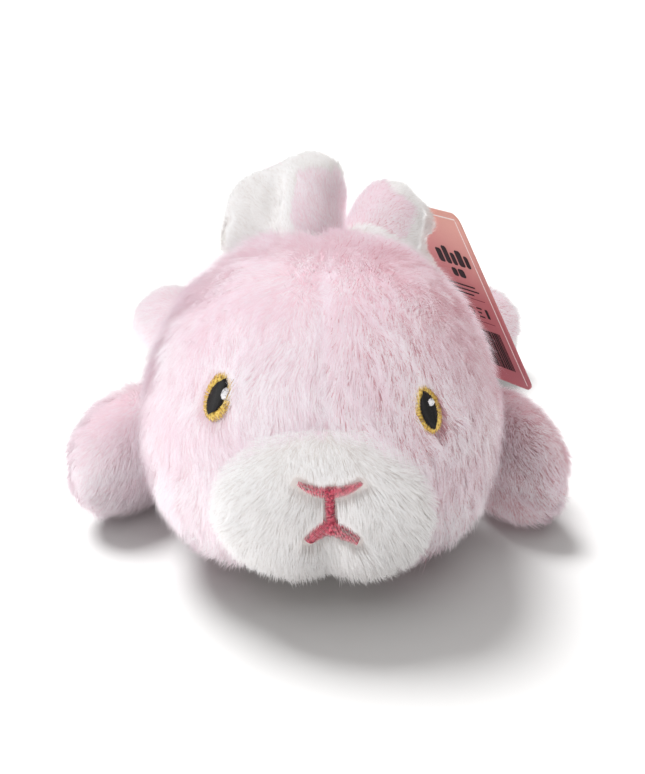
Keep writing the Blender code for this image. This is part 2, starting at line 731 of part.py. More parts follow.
def build_ear(side_name, cloth, parent):
    """Lining, wadding and outer cloth. The left ear has an opening behind its lining for the pin."""
    sheet = ear_sheet(side_name)
    under_cloth = EAR_CLOTH + SEAM_NUDGE * 2
    layers = {
        "lining": (("front", 0), ("front", EAR_CLOTH), cloth["white"]),
        "wadding": (("front", under_cloth), ("back", under_cloth), cloth["fibre"]),
        "outer": (("back", EAR_CLOTH), ("back", 0), cloth["pink"]),
    }
    for layer, (top, bottom, material) in layers.items():
        cells = sheet.cells()
        if side_name == "left" and layer != "lining":
            cells.remove(PIN_CELL)
        panel(side_name + "_ear_" + layer, sheet, cells, top, bottom, material, parent, 0)
    return sheet


# ---------------------------------------------------------------- tag, loop and label


def rounded_rectangle(wide, high, corner, steps):
    """Points round a rectangle about the origin, with its corners as arcs."""
    points = []
    for quarter, (sx, sy) in enumerate(((1, 1), (-1, 1), (-1, -1), (1, -1))):
        for n in range(steps + 1):
            angle = math.pi / 2 * (quarter + n / steps)
            x = sx * (wide / 2 - corner) + corner * math.cos(angle)
            y = sy * (high / 2 - corner) + corner * math.sin(angle)
            points.append((x, y))
    return points


def card_frame():
    """The tag's axes at its hole: across the card, up the card and out of its printed face."""
    out = TAG_ACROSS.cross(TAG_UP)
    axes = Matrix((TAG_ACROSS, TAG_UP, out)).transposed()
    return Matrix.Translation(TAG_HOLE_PLACE) @ axes.to_4x4()


def build_tag(card, parent, frame):
    """A flat card with rounded corners and a punched hole near its top edge."""
    wide, high, thick = TAG_SIZE
    drop = high / 2 - TAG_HOLE_DROP
    rim = [(x, y - drop) for x, y in rounded_rectangle(wide, high, TAG_CORNER, TAG_CORNER_STEPS)]
    count = len(rim)
    spins = [2 * math.pi * (n + 0.5) / count for n in range(count)]
    hole = [(TAG_HOLE * math.cos(spin), TAG_HOLE * math.sin(spin)) for spin in spins]
    points = []
    for z in (thick / 2, -thick / 2):
        points += [frame @ Vector((x, y, z)) for x, y in rim + hole]
    below = 2 * count
    faces = []
    for n in range(count):
        m = (n + 1) % count
        faces.append([n, m, m + count, n + count])
        faces.append([n + count + below, m + count + below, m + below, n + below])
        faces.append([m, n, n + below, m + below])
        faces.append([n + count, m + count, m + count + below, n + count + below])
    return add_object("hang_tag", points, faces, card, parent)


def tube(name, path, radii, sides, material, parent):
    """A closed tube along a path, with its own radius at each point."""
    points = []
    start = Vector((0, 0, 1))
    for n, place in enumerate(path):
        along = (path[min(n + 1, len(path) - 1)] - path[max(n - 1, 0)]).normalized()
        side = (start - along * start.dot(along)).normalized()
        other = along.cross(side)
        start = side
        for m in range(sides):
            spin = 2 * math.pi * m / sides
            points.append(place + (side * math.cos(spin) + other * math.sin(spin)) * radii[n])
    faces = []
    for n in range(len(path) - 1):
        for m in range(sides):
            after = (m + 1) % sides
            low = n * sides
            faces.append([low + m, low + after, low + sides + after, low + sides + m])
    last = (len(path) - 1) * sides
    faces.append([m for m in range(sides)])
    faces.append([last + m for m in range(sides)])
    return add_object(name, points, faces, material, parent)


def hermite(a, b, leave, arrive, count):
    """Points from a to b that leave and arrive along the given vectors."""
    points = []
    for n in range(count + 1):
        t = n / count
        from_a = a * (2 * t ** 3 - 3 * t ** 2 + 1) + leave * (t ** 3 - 2 * t ** 2 + t)
        points.append(from_a + b * (3 * t ** 2 - 2 * t ** 3) + arrive * (t ** 3 - t ** 2))
    return points


def build_pin(plastic, parent, sheet, frame):
    """A plastic pin: a bead inside the ear's edge, a filament through the card, a flat paddle behind it."""
    out = Vector(frame.col[2][:3])
    corners = sheet.corners(PIN_CELL)
    mouth = sum((sheet.spot(key, ("back", 0)) for key in corners), Vector()) / len(corners)
    floor = [sheet.spot(key, ("front", EAR_CLOTH)) for key in corners]
    under = sum(floor, Vector()) / len(corners)
    leave = (mouth - under).normalized()
    bead = [under + leave * (PIN_ENTRY + PIN_STEP * n) for n in range(3)]
    front = frame.translation + out * PIN_STANDOFF
    stem = hermite(bead[-1] + leave * PIN_STEP, front, leave * PIN_SWEEP, -out * PIN_SWEEP, PIN_STEPS)
    back = frame.translation - out * PIN_STANDOFF
    paddle = [back - out * PIN_NECK, back - out * (PIN_NECK + PIN_PADDLE_THICK)]
    bead_end = PIN_BEAD * PIN_BEAD_ENDS
    radii = [bead_end, PIN_BEAD, bead_end] + [FILAMENT] * (len(stem) + 1) + [PIN_PADDLE] * 2
    return tube("tag_fastener", bead + stem + [back] + paddle, radii, PIN_SIDES, plastic, parent)


def build_label(cloth):
    """A folded sewn-in label at the rump, beside the tail."""
    deep, wide, thick = LABEL_SIZE
    x, y, z = LABEL_PLACE
    points = []
    for dz in (0, wide):
        for dx, dy in ((0, 0), (thick, 0), (thick, deep), (0, deep)):
            points.append(Vector((x + dx, y + dy, z + dz)))
    faces = [[3, 2, 1, 0], [4, 5, 6, 7], [0, 1, 5, 4], [1, 2, 6, 5], [2, 3, 7, 6], [3, 0, 4, 7]]
    return add_object("sewn_label", points, faces, cloth["label"])


def main():
    """Builds the torso, the head with its face, then legs, ears, tag, tail and label."""
    clear_scene()
    cloth = {
        "pink": principled("pink plush", (0.90, 0.66, 0.72), 0.95),
        "white": principled("white plush", (0.90, 0.88, 0.86), 0.95),
        "fibre": principled("polyester filling", (0.92, 0.92, 0.90), 0.9),
        "pouch": principled("bean pouch", (0.80, 0.78, 0.72), 0.85),
        "label": principled("label satin", (0.93, 0.92, 0.90), 0.6),
    }
    thread = {
        "gold": principled("gold thread", (0.62, 0.42, 0.08), 0.4),
        "black": principled("black thread", (0.01, 0.01, 0.01), 0.4),
        "white": principled("white thread", (0.9, 0.9, 0.9), 0.4),
        "rose": principled("rose thread", (0.62, 0.12, 0.20), 0.4),
    }
    head = pivot("neck_pivot", NECK_PIVOT)
    build_torso(cloth)
    build_head(cloth, head)
    for side_name in ("right", "left"):
        build_eye(side_name, thread, head)
    build_nose(thread, head)
    for side_name in ("right", "left"):
        build_leg(side_name, FORELEG, FRONT_NAMES, cloth["pink"], cloth)
        build_leg(side_name, HINDLEG, HIND_NAMES, cloth["white"], cloth)
        ear_pivot = pivot(side_name + "_ear_pivot", EARS[side_name]["root"])
        sheet = build_ear(side_name, cloth, ear_pivot)
        if side_name == "left":
            frame = card_frame()
            build_pin(principled("clear plastic", (0.85, 0.80, 0.80), 0.3), ear_pivot, sheet, frame)
            tag_pivot = pivot("tag_pivot", TAG_HOLE_PLACE)
            build_tag(principled("printed card", (0.60, 0.28, 0.30), 0.45), tag_pivot, frame)
    build_tail(cloth)
    build_label(cloth)


main()
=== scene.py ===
"""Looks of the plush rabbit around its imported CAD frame.

Padded cloth skins, pile, embroidery, the tag's print, the label, floor and light.
"""
import math

import bmesh
import bpy
import numpy as np
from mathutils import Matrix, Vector
from mathutils.bvhtree import BVHTree
from mathutils.kdtree import KDTree


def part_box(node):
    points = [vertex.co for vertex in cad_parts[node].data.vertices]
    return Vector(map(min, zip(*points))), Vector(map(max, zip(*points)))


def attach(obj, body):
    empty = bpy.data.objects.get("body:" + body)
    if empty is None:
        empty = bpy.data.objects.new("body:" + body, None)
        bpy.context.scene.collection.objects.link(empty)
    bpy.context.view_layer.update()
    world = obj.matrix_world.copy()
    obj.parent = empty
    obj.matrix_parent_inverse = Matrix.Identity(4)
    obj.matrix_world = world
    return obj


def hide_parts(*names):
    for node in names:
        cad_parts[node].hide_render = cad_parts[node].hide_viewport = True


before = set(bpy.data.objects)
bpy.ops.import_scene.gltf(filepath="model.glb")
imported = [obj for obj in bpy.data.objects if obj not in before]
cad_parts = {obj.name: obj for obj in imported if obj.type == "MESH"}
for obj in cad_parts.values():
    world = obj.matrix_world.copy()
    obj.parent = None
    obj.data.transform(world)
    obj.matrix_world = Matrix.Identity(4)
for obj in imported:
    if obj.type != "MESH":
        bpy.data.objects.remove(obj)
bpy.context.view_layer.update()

RNG = np.random.default_rng(2024)
FLOOR_GAP = 0.0003           # pile pressed against the floor stops this far above it
UP = np.array((0.0, 0.0, 1.0))

# ---------------------------------------------------------------- materials


def shader(name):
    """A new node material with its Principled node and the tree."""
    mat = bpy.data.materials.new(name)
    mat.use_nodes = True
    return mat, mat.node_tree, mat.node_tree.nodes["Principled BSDF"]


def add_node(tree, kind, **values):
    """A node with some of its inputs set by name."""
    node = tree.nodes.new(kind)
    for key, value in values.items():
        node.inputs[key].default_value = value
    return node


def noise_of(tree, scale, detail=3.0, stretch=None):
    """A noise node in object coordinates, in cycles per metre."""
    place = tree.nodes.new("ShaderNodeTexCoord")
    noise = add_node(tree, "ShaderNodeTexNoise", Scale=scale, Detail=detail)
    if stretch:
        squeeze = add_node(tree, "ShaderNodeMapping", Scale=stretch)
        tree.links.new(place.outputs["Object"], squeeze.inputs["Vector"])
        tree.links.new(squeeze.outputs["Vector"], noise.inputs["Vector"])
    else:
        tree.links.new(place.outputs["Object"], noise.inputs["Vector"])
    return noise


def spread(tree, source, low, high):
    """Maps a 0..1 output to low..high."""
    node = add_node(tree, "ShaderNodeMapRange")
    node.inputs["To Min"].default_value = low
    node.inputs["To Max"].default_value = high
    tree.links.new(source, node.inputs["Value"])
    return node.outputs["Result"]


def ramp_of(tree, source, *stops):
    """A colour ramp fed by source; stops are (position, colour)."""
    node = tree.nodes.new("ShaderNodeValToRGB")
    ramp = node.color_ramp
    while len(ramp.elements) < len(stops):
        ramp.elements.new(0.5)
    for element, (place, colour) in zip(ramp.elements, stops):
        element.position = place
        element.color = (*colour, 1)
    tree.links.new(source, node.inputs["Fac"])
    return node.outputs["Color"]


def linear(red, green, blue):
    """Linear light of an 8-bit display colour."""
    def one(v):
        v = v / 255
        return v / 12.92 if v <= 0.04045 else ((v + 0.055) / 1.055) ** 2.4
    return one(red), one(green), one(blue)


def fibre(name, colour, sheen=0.25):
    """One shade of pile fibre; its sheen and gloss wander from tuft to tuft."""
    mat, tree, bsdf = shader(name)
    bsdf.inputs["Base Color"].default_value = (*colour, 1)
    bsdf.inputs["Roughness"].default_value = 0.75
    tufts = noise_of(tree, 320)
    tree.links.new(spread(tree, tufts.outputs["Fac"], 0, 2 * sheen), bsdf.inputs["Sheen Weight"])
    tree.links.new(spread(tree, tufts.outputs["Fac"], 0.1, 0.4), bsdf.inputs["Specular IOR Level"])
    return mat


def mottled(name, grain, *stops, **inputs):
    """A material whose colour follows a noise; inputs are the Principled node's, with _ for a space."""
    mat, tree, bsdf = shader(name)
    tree.links.new(ramp_of(tree, noise_of(tree, *grain).outputs["Fac"], *stops), bsdf.inputs["Base Color"])
    for key, value in inputs.items():
        bsdf.inputs[key.replace("_", " ")].default_value = value
    return mat


def roughen(mat, grain, strength, distance):
    """Adds a bump that follows a noise."""
    tree = mat.node_tree
    bump = add_node(tree, "ShaderNodeBump", Strength=strength, Distance=distance)
    tree.links.new(noise_of(tree, *grain).outputs["Fac"], bump.inputs["Height"])
    tree.links.new(bump.outputs["Normal"], tree.nodes["Principled BSDF"].inputs["Normal"])


def backing(name, deep, pale):
    """Knitted backing cloth under the pile: blotchy colour and a fine bump."""
    mat = mottled(name, (120,), (0.3, deep), (0.7, pale), Roughness=0.9, Sheen_Weight=0.3)
    roughen(mat, (1800,), 0.4, 0.0003)
    return mat


def thread(name, colour, gloss=0.45, sheen=0.2, painted_shade_depth=0.42, painted_highlight=0.06):
    """Embroidery thread: a lustrous twisted fibre whose colour follows a fine noise from a painted shade,
    dark as between the strands, to a painted highlight, pale as on top.
    """
    # dark is the painted shade between the strands, pale the painted highlight on top.
    dark = tuple(painted_shade_depth * c for c in colour)
    pale = tuple(min(1, 1.25 * c + painted_highlight * max(colour)) for c in colour)
    return mottled(name, (1500,), (0.34, dark), (0.5, colour), (0.66, pale),
                   Roughness=gloss, Sheen_Weight=sheen)


PINK_PALE = fibre("pile_pink_pale", linear(250, 246, 249))
PINK_MID = fibre("pile_pink_mid", linear(247, 239, 244))
PINK_DEEP = fibre("pile_pink_deep", linear(245, 230, 237))
PINK_ROOT = fibre("pile_pink_root", linear(248, 235, 239))
PINK_DARK = fibre("pile_pink_dark", linear(244, 223, 229))
# A painted shade: deeper pink roots on the rabbit's left, the side that the key light leaves in shade.
PINK_PAINTED_SHADE = fibre("pile_pink_painted_shade", linear(222, 172, 180))
WHITE_PALE = fibre("pile_white_pale", linear(250, 250, 250))
WHITE_MID = fibre("pile_white_mid", linear(246, 245, 244))
WHITE_ROOT = fibre("pile_white_root", linear(236, 232, 230))
PINK_CLOTH = backing("pink_cloth", linear(243, 218, 225), linear(248, 232, 237))
WHITE_CLOTH = backing("white_cloth", linear(228, 222, 218), linear(240, 236, 233))
# The last two numbers of a thread: how dark its painted shade between strands is, and how strong its painted
# highlight on top is.
GOLD = thread("gold_thread", linear(238, 200, 92), 0.4, 0.2, 0.5, 0.1)
BLACK = thread("black_thread", linear(9, 8, 9), 0.5, 0.02)
BRIGHT = thread("white_thread", linear(250, 250, 252))
ROSE = thread("rose_thread", linear(208, 62, 94), 0.4, 0.2, 0.25, 0.26)

# The deep entry holds the painted shade pink for roots on the rabbit's shaded left.
PINK_PILE = {"tips": (PINK_PALE, PINK_MID, PINK_DEEP), "roots": (PINK_ROOT, PINK_DARK), "deep": (PINK_PAINTED_SHADE,)}
WHITE_PILE = {"tips": (WHITE_PALE, WHITE_PALE, WHITE_MID), "roots": (WHITE_MID, WHITE_ROOT), "deep": ()}

# ---------------------------------------------------------------- meshes


def values_of(items, key, kind=np.float32):
    """One property of a mesh's items as an n x 3 array."""
    out = np.empty(len(items) * 3, kind)
    items.foreach_get(key, out)
    return out.reshape(-1, 3)


def points_of(mesh):
    """Vertex places as an n x 3 array."""
    return values_of(mesh.vertices, "co").astype(float)


def normals_of(mesh):
    """Vertex normals as an n x 3 array."""
    return values_of(mesh.vertices, "normal").astype(float)


def triangles_of(mesh):
    """Triangle corners as an n x 3 array of vertex indices."""
    mesh.calc_loop_triangles()
    return values_of(mesh.loop_triangles, "vertices", np.int32)


def move_points(mesh, points):
    """Gives a mesh's vertices new places."""
    mesh.vertices.foreach_set("co", points.astype(np.float32).ravel())
    mesh.update()


def unit(v):
    """Rows scaled to length 1."""
    return v / np.maximum(np.linalg.norm(v, axis=-1, keepdims=True), 1e-12)


def new_object(name, mesh, *mats):
    """An object in the scene with its materials."""
    obj = bpy.data.objects.new(name, mesh)
    bpy.context.scene.collection.objects.link(obj)
    for mat in mats:
        mesh.materials.append(mat)
    return obj


def seat(obj, body, slot, *nodes):
    """Puts obj on a body and hides the CAD nodes that it stands for."""
    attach(obj, body)
    if nodes:
        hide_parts(*nodes)


def mesh_from(name, points, sizes, corners, material_index=None, normals=None):
    """A mesh from flat arrays: corner counts per face and corner indices, smooth shaded."""
    mesh = bpy.data.meshes.new(name)
    mesh.vertices.add(len(points))
    mesh.vertices.foreach_set("co", np.ascontiguousarray(points, np.float32).ravel())
    mesh.loops.add(len(corners))
    mesh.loops.foreach_set("vertex_index", np.ascontiguousarray(corners, np.int32))
    mesh.polygons.add(len(sizes))
    starts = np.concatenate(([0], np.cumsum(sizes)[:-1])).astype(np.int32)
    mesh.polygons.foreach_set("loop_start", starts)
    mesh.polygons.foreach_set("loop_total", np.ascontiguousarray(sizes, np.int32))
    if material_index is not None:
        mesh.polygons.foreach_set("material_index", np.ascontiguousarray(material_index, np.int32))
    mesh.update(calc_edges=True)
    mesh.polygons.foreach_set("use_smooth", np.ones(len(sizes), bool))
    if normals is not None:
        layer = mesh.attributes.new("custom_normal", "FLOAT_VECTOR", "POINT")
        layer.data.foreach_set("vector", np.ascontiguousarray(normals, np.float32).ravel())
    return mesh


def joined(nodes):
    """One mesh that holds copies of these CAD nodes."""
    bm = bmesh.new()
    for node in nodes:
        bm.from_mesh(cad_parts[node].data)
    mesh = bpy.data.meshes.new("joined")
    bm.to_mesh(mesh)
    bm.free()
    return mesh


def settled(obj):
    """Replaces obj's mesh by its evaluated mesh and drops its modifiers."""
    evaluated = obj.evaluated_get(bpy.context.evaluated_depsgraph_get())
    mesh = bpy.data.meshes.new_from_object(evaluated)
    obj.modifiers.clear()
    obj.data = mesh
    return mesh


def tree_of(node):
    """A search tree over a CAD node's surface."""
    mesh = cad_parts[node].data
    corners = [v.co[:] for v in mesh.vertices]
    return BVHTree.FromPolygons(corners, [tuple(p.vertices) for p in mesh.polygons])


# ---------------------------------------------------------------- padded skins

SKIN_VOXEL = {"head": 0.0030, "torso": 0.0030, "paw": 0.0022, "foot": 0.0022, "tail": 0.0018, "ear": 0.0015}
SOFTENING = {"head": 3, "torso": 3, "paw": 3, "foot": 3, "tail": 3, "ear": 14}
CLOTH_FRAMES = 20
CLOTH_SETTINGS = {"quality": 4, "mass": 0.004, "tension_stiffness": 1, "compression_stiffness": 1,
                  "bending_stiffness": 0.05, "use_pressure": True, "uniform_pressure_force": 40.0,
                  "vertex_group_mass": "seams"}
MOST_PUFF = 0.0016           # the stuffing's pressure moves no point further than this
SEAM_PINCH = 0.0005
SEAM_REACH = 0.0022

EAR_ALONG = {"right_ear": np.array((0.03, 0.57, 0.82)), "left_ear": np.array((0.46, 0.65, 0.60))}
EAR_CLOSING = 0.0026         # the ear's lap and flap are filled together up to twice this gap
EAR_BULGE = 0.0010           # and then stand this far out
EAR_ROOT_REACH = 0.0090      # this much of an ear's foot is drawn down into the head's pile
EAR_ROOT_DROP = 0.0042
# An ear's lining rolls out over its rim by half of this.
LINING_SHOWS = {"right_ear": 0.0034, "left_ear": 0.0042}
LOBE_WAY = np.array((0.70, 0.15, -0.70))         # the left ear's lower lobe is rounded out this way
LOBE_SIZE = 0.0095
LOBE_HEIGHT = 0.0150         # and this high up the ear

MUZZLE_PUFF = 0.0017
MUZZLE_REACH = 0.0070        # the cheeks are full this far in from the muzzle's seam
DENT_DEPTH = 0.0020          # the dent that the stitched stem pulls in
DENT_WIDTH = 0.0050
DENT_TOP = 0.0060            # it starts this far over the stem
DENT_FADE = 0.0100
MUZZLE_DRAWN_IN = 0.0012
MUZZLE_DRAWN_LEFT = 0.0060
CHIN_DRAWN_LEFT = 0.0080
DRAWN_SIDE = 0.030           # the left-hand shift is whole at this distance from the middle
DRAWN_LOW = 0.012            # the muzzle's seam is drawn in from this height up
DRAWN_FADE = 0.012

# Each padded skin: its body, its kind, its sewn panels, and what fills it.
SKINS = {
    "head": ("head", "head", ("head_left_panel", "head_right_panel", "head_back_panel", "muzzle_panel",
                              "chin_panel"), ("head_stuffing",)),
    "torso": ("torso", "torso", ("back_left_panel", "back_right_panel", "belly_panel"),
              ("torso_stuffing", "bean_pouch")),
}


def add_skins(part, kind, upper, lower, fill):
    """The right and left skins of a part that comes in a pair."""
    for side in ("right", "left"):
        name = f"{side}_{part}"
        SKINS[name] = (name, kind, (f"{name}_{upper}", f"{name}_{lower}"), (f"{name}_{fill}",))


add_skins("front_paw", "paw", "top", "underside", "stuffing")
add_skins("hind_foot", "foot", "top", "sole", "stuffing")
SKINS["tail"] = ("tail", "tail", ("tail_cover",), ("tail_stuffing",))
add_skins("ear", "ear", "lining", "outer", "wadding")
WHITE_PANELS = {"muzzle_panel", "chin_panel", "tail_cover", "right_ear_lining", "left_ear_lining",
                "right_hind_foot_sole", "left_hind_foot_sole"}
FACE_PANELS = ("muzzle_panel", "chin_panel")


def distances(points, panels):
    """Distance from each point to each panel's surface, points x panels."""
    out = np.zeros((len(points), len(panels)))
    for column, panel in enumerate(panels):
        find = tree_of(panel).find_nearest
        out[:, column] = [find(Vector(p))[3] for p in points]
    return out


def seam_share(apart):
    """1 on a seam between two panels, falling to 0 away from it."""
    if apart.shape[1] < 2:
        return np.zeros(len(apart))
    ordered = np.sort(apart, axis=1)
    return np.exp(-((ordered[:, 1] - ordered[:, 0]) / SEAM_REACH) ** 2)


def swell(obj, distance):
    """Moves the whole surface outwards."""
    push = obj.modifiers.new("swell", "DISPLACE")
    push.strength = distance
    push.mid_level = 0


def remesh(obj, voxel, soft_steps):
    """One even closed mesh over everything in obj, softened."""
    shrink = obj.modifiers.new("one_body", "REMESH")
    shrink.mode = "VOXEL"
    shrink.voxel_size = voxel
    soften = obj.modifiers.new("soften", "SMOOTH")
    soften.factor = 0.5
    soften.iterations = soft_steps


def lengthen_root(mesh, name):
    """Draws an ear's foot down into the head's pile, and rounds out the left ear's lower lobe."""
    along = EAR_ALONG[name]
    points = points_of(mesh)
    above = points @ along
    above -= above.min()
    points -= EAR_ROOT_DROP * np.clip(1 - above / EAR_ROOT_REACH, 0, 1)[:, None] * along
    if name == "left_ear":
        aside = points @ LOBE_WAY
        aside = np.clip((aside - aside.mean()) / (aside.max() - aside.mean()), 0, 1)
        low = np.clip(1 - above / LOBE_HEIGHT, 0, 1)
        bulge = np.sin(aside * math.pi / 2) * np.sin(low * math.pi / 2)
        points += LOBE_SIZE * bulge[:, None] * LOBE_WAY
    move_points(mesh, points)


def puff_muzzle(points, normals, apart):
    """Stuffs the muzzle out into two cheeks with a dent under the nose."""
    muzzle = SKINS["head"][2].index("muzzle_panel")
    others = np.delete(apart, muzzle, axis=1).min(axis=1)
    inside = np.clip((others - apart[:, muzzle]) / MUZZLE_REACH, 0, 1)
    low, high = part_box("philtrum_embroidery")
    middle = (low.x + high.x) / 2
    under_nose = np.clip((high.z + DENT_TOP - points[:, 2]) / DENT_FADE, 0, 1)
    dent = np.exp(-((points[:, 0] - middle) / DENT_WIDTH) ** 2) * under_nose
    push = MUZZLE_PUFF * np.sin(inside * math.pi / 2) - DENT_DEPTH * dent * inside
    return points + normals * push[:, None]


def draw_in_muzzle(points, apart):
    """Moves the muzzle's and chin's seams inwards, more on the rabbit's left."""
    muzzle = SKINS["head"][2].index("muzzle_panel")
    chin = SKINS["head"][2].index("chin_panel")
    side = np.clip(points[:, 0] / DRAWN_SIDE, 0, 1)
    above_chin = np.clip((points[:, 2] - DRAWN_LOW) / DRAWN_FADE, 0, 1)
    apart[:, muzzle] += (MUZZLE_DRAWN_IN + MUZZLE_DRAWN_LEFT * side) * above_chin
    apart[:, chin] += CHIN_DRAWN_LEFT * side


def start_skin(name):
    """A closed skin round one soft body, ready for its cloth simulation."""
    _, kind, panels, fill = SKINS[name]
    obj = new_object(name + "_skin", joined(panels + fill))
    if kind == "ear":
        remesh(obj, SKIN_VOXEL[kind], 1)
        swell(obj, EAR_CLOSING)
        remesh(obj, SKIN_VOXEL[kind], 6)
        swell(obj, EAR_BULGE - EAR_CLOSING)
    remesh(obj, SKIN_VOXEL[kind], SOFTENING[kind])
    mesh = settled(obj)
    if kind == "ear":
        lengthen_root(mesh, name)
    start = points_of(mesh)
    apart = distances(start, panels)
    pinned = obj.vertex_groups.new(name="seams")
    for index, weight in enumerate(seam_share(apart)):
        pinned.add([index], float(weight), "REPLACE")
    return obj, start


def inflate(skins):
    """Runs all cloth skins together, blown up by the stuffing's pressure."""
    scene = bpy.context.scene
    for obj, _ in skins.values():
        cloth = obj.modifiers.new("padding", "CLOTH")
        for key, value in CLOTH_SETTINGS.items():
            setattr(cloth.settings, key, value)
        cloth.settings.effector_weights.gravity = 0
        cloth.collision_settings.use_self_collision = False
        cloth.collision_settings.use_collision = False
        cloth.point_cache.frame_start = 1
        cloth.point_cache.frame_end = CLOTH_FRAMES
    scene.frame_start = 1
    scene.frame_end = CLOTH_FRAMES
    for step in range(1, CLOTH_FRAMES + 1):
        scene.frame_set(step)
    for obj, start in skins.values():
        mesh = settled(obj)
        moved = points_of(mesh) - start
        size = np.linalg.norm(moved, axis=1, keepdims=True)
        moved *= np.minimum(1, MOST_PUFF / np.maximum(size, 1e-9))
        move_points(mesh, start + moved)
    scene.frame_set(1)


def finish_skin(obj, name):
    """One subdivision, then the seams drawn in; returns what the pile needs."""
    panels = SKINS[name][2]
    finer = obj.modifiers.new("finer", "SUBSURF")
    finer.levels = 1
    mesh = settled(obj)
    points = points_of(mesh)
    normals = normals_of(mesh)
    apart = distances(points, panels)
    if name == "head":
        draw_in_muzzle(points, apart)
    if name in EAR_ALONG:
        apart[:, 0] -= LINING_SHOWS[name]
    points -= normals * (SEAM_PINCH * seam_share(apart))[:, None]
    if name == "head":
        points = puff_muzzle(points, normals, apart)
    points[:, 2] = np.maximum(points[:, 2], FLOOR_GAP)
    move_points(mesh, points)
    return {"points": points, "normals": normals_of(mesh), "triangles": triangles_of(mesh), "apart": apart}


def panel_cloths(name, skin):
    """Cuts a skin into its sewn panels, each standing for its CAD panel."""
    body, _, panels, _ = SKINS[name]
    corners = skin["triangles"]
    owner = skin["apart"][corners].mean(axis=1).argmin(axis=1)
    for index, panel in enumerate(panels):
        mine = corners[owner == index]
        used, local = np.unique(mine, return_inverse=True)
        mesh = mesh_from(panel + "_cloth", skin["points"][used], np.full(len(mine), 3),
                         local.ravel(), normals=skin["normals"][used])
        white = panel in WHITE_PANELS
        cloth = new_object(panel + "_cloth", mesh, WHITE_CLOTH if white else PINK_CLOTH)
        cloth.visible_shadow = name not in EAR_ALONG
        seat(cloth, body, "white_plush" if white else "pink_plush", panel)


# ---------------------------------------------------------------- pile


CROWN = np.array((0.003, -0.046, 0.104))         # the head's pile is brushed away from here
# Each kind of pile: lengths and widths in metres, angles in radians, density in strands per mm2.
LOOK_KEYS = ("length", "lift", "bend", "density", "width", "tuft", "pull", "mess", "sway")
LOOK_ROWS = {
    "head": (0.0070, 0.70, 0.5, 8.0, 0.00017, 0.0017, 0.3, 0.22, 0.30),
    "torso": (0.0072, 0.6, 0.45, 4.5, 0.00024, 0.0020, 0.35, 0.25, 0.30),
    "paw": (0.0056, 0.7, 0.5, 8.0, 0.00017, 0.0015, 0.3, 0.25, 0.25),
    "foot": (0.0056, 0.7, 0.5, 7.0, 0.00018, 0.0015, 0.3, 0.25, 0.25),
    "tail": (0.0078, 1.0, 0.8, 9.0, 0.0002, 0.0018, 0.4, 0.4, 0.3),
    "ear": (0.0030, 0.62, 0.5, 14.0, 0.00014, 0.0010, 0.3, 0.25, 0.2),
}
LOOKS = {kind: dict(zip(LOOK_KEYS, row)) for kind, row in LOOK_ROWS.items()}
MUZZLE_LOOK = {"length": 0.0050, "lift": 0.85, "bend": 0.6, "width": 0.00016, "tuft": 0.0014, "pull": 0.3}
UNDERSIDE = -0.5             # skin that faces down more than this carries thinner pile
UNDERSIDE_SHARE = 0.6
LIFT_SPREAD = 0.16
LENGTH_SPREAD = 0.18
SEAM_SHORTENS = 0.18
FINE_WAVE = 0.006            # sizes of the waves in the pile's lie and shade
BROAD_WAVE = 0.022
SHADE_WAVE = 0.018
EAR_FOOT = 0.011             # the head's pile is longer and stands up within about this distance of the ears
EAR_MIDDLE = 0.014           # from an ear's foot to the middle of its wadding
EAR_LIFT = 0.1
EAR_LENGTH = 0.2
FLOOR_SPREAD = 0.0004
STRAND_POINTS = 5
SHORTEST_SHARE = 0.3         # a strand over the embroidery is cut, or left out when less than this is free
SHARE_STEPS = 10
CLEAR_DEPTH = 0.008
PAINTED_SHADE_MOST = 0.6              # the greatest share of roots in the painted shade pink, on the rabbit's left, the side away from the key light
PAINTED_SHADE_SIDE = 0.028
PAINTED_SHADE_DROP = 0.030


def wander(points, scale, seed, count=6):
    """Smooth pseudo-random vectors at the points, about -1 to 1, from a few sine waves."""
    rng = np.random.default_rng(seed)
    out = np.zeros_like(points)
    for _ in range(count):
        wave = rng.normal(size=(3, 3))
        phase = rng.uniform(0, 2 * math.pi, 3)
        out += np.sin(points @ wave.T * (2 * math.pi / scale / 1.7) + phase)
    return out / math.sqrt(count / 2) / 1.2


def sprinkle(skin, density):
    """Strand roots spread over a skin, density per square millimetre: place, normal and panel distances."""
    tri = skin["triangles"]
    corner = skin["points"][tri]
    area = np.linalg.norm(np.cross(corner[:, 1] - corner[:, 0], corner[:, 2] - corner[:, 0]), axis=1) / 2
    facing = skin["normals"][tri].mean(axis=1)
    wanted = area * 1e6 * (density * np.where(facing[:, 2] < UNDERSIDE, UNDERSIDE_SHARE, 1.0))
    count = np.floor(wanted + RNG.random(len(tri))).astype(int)
    pick = np.repeat(np.arange(len(tri)), count)
    a = RNG.random((len(pick), 2))
    flip = a.sum(axis=1) > 1
    a[flip] = 1 - a[flip]
    share = np.column_stack((1 - a.sum(axis=1), a))[:, :, None]
    place = (corner[pick] * share).sum(axis=1)
    normal = unit((skin["normals"][tri[pick]] * share).sum(axis=1))
    apart = (skin["apart"][tri[pick]] * share).sum(axis=1)
    return place, normal, apart


def patch_area(root):
    """A rough area of a cloud of roots, from its box."""
    low, high = root.min(axis=0), root.max(axis=0)
    x, y, z = high - low
    return max(1e-6, (x * y + y * z + x * z) * 1.6)


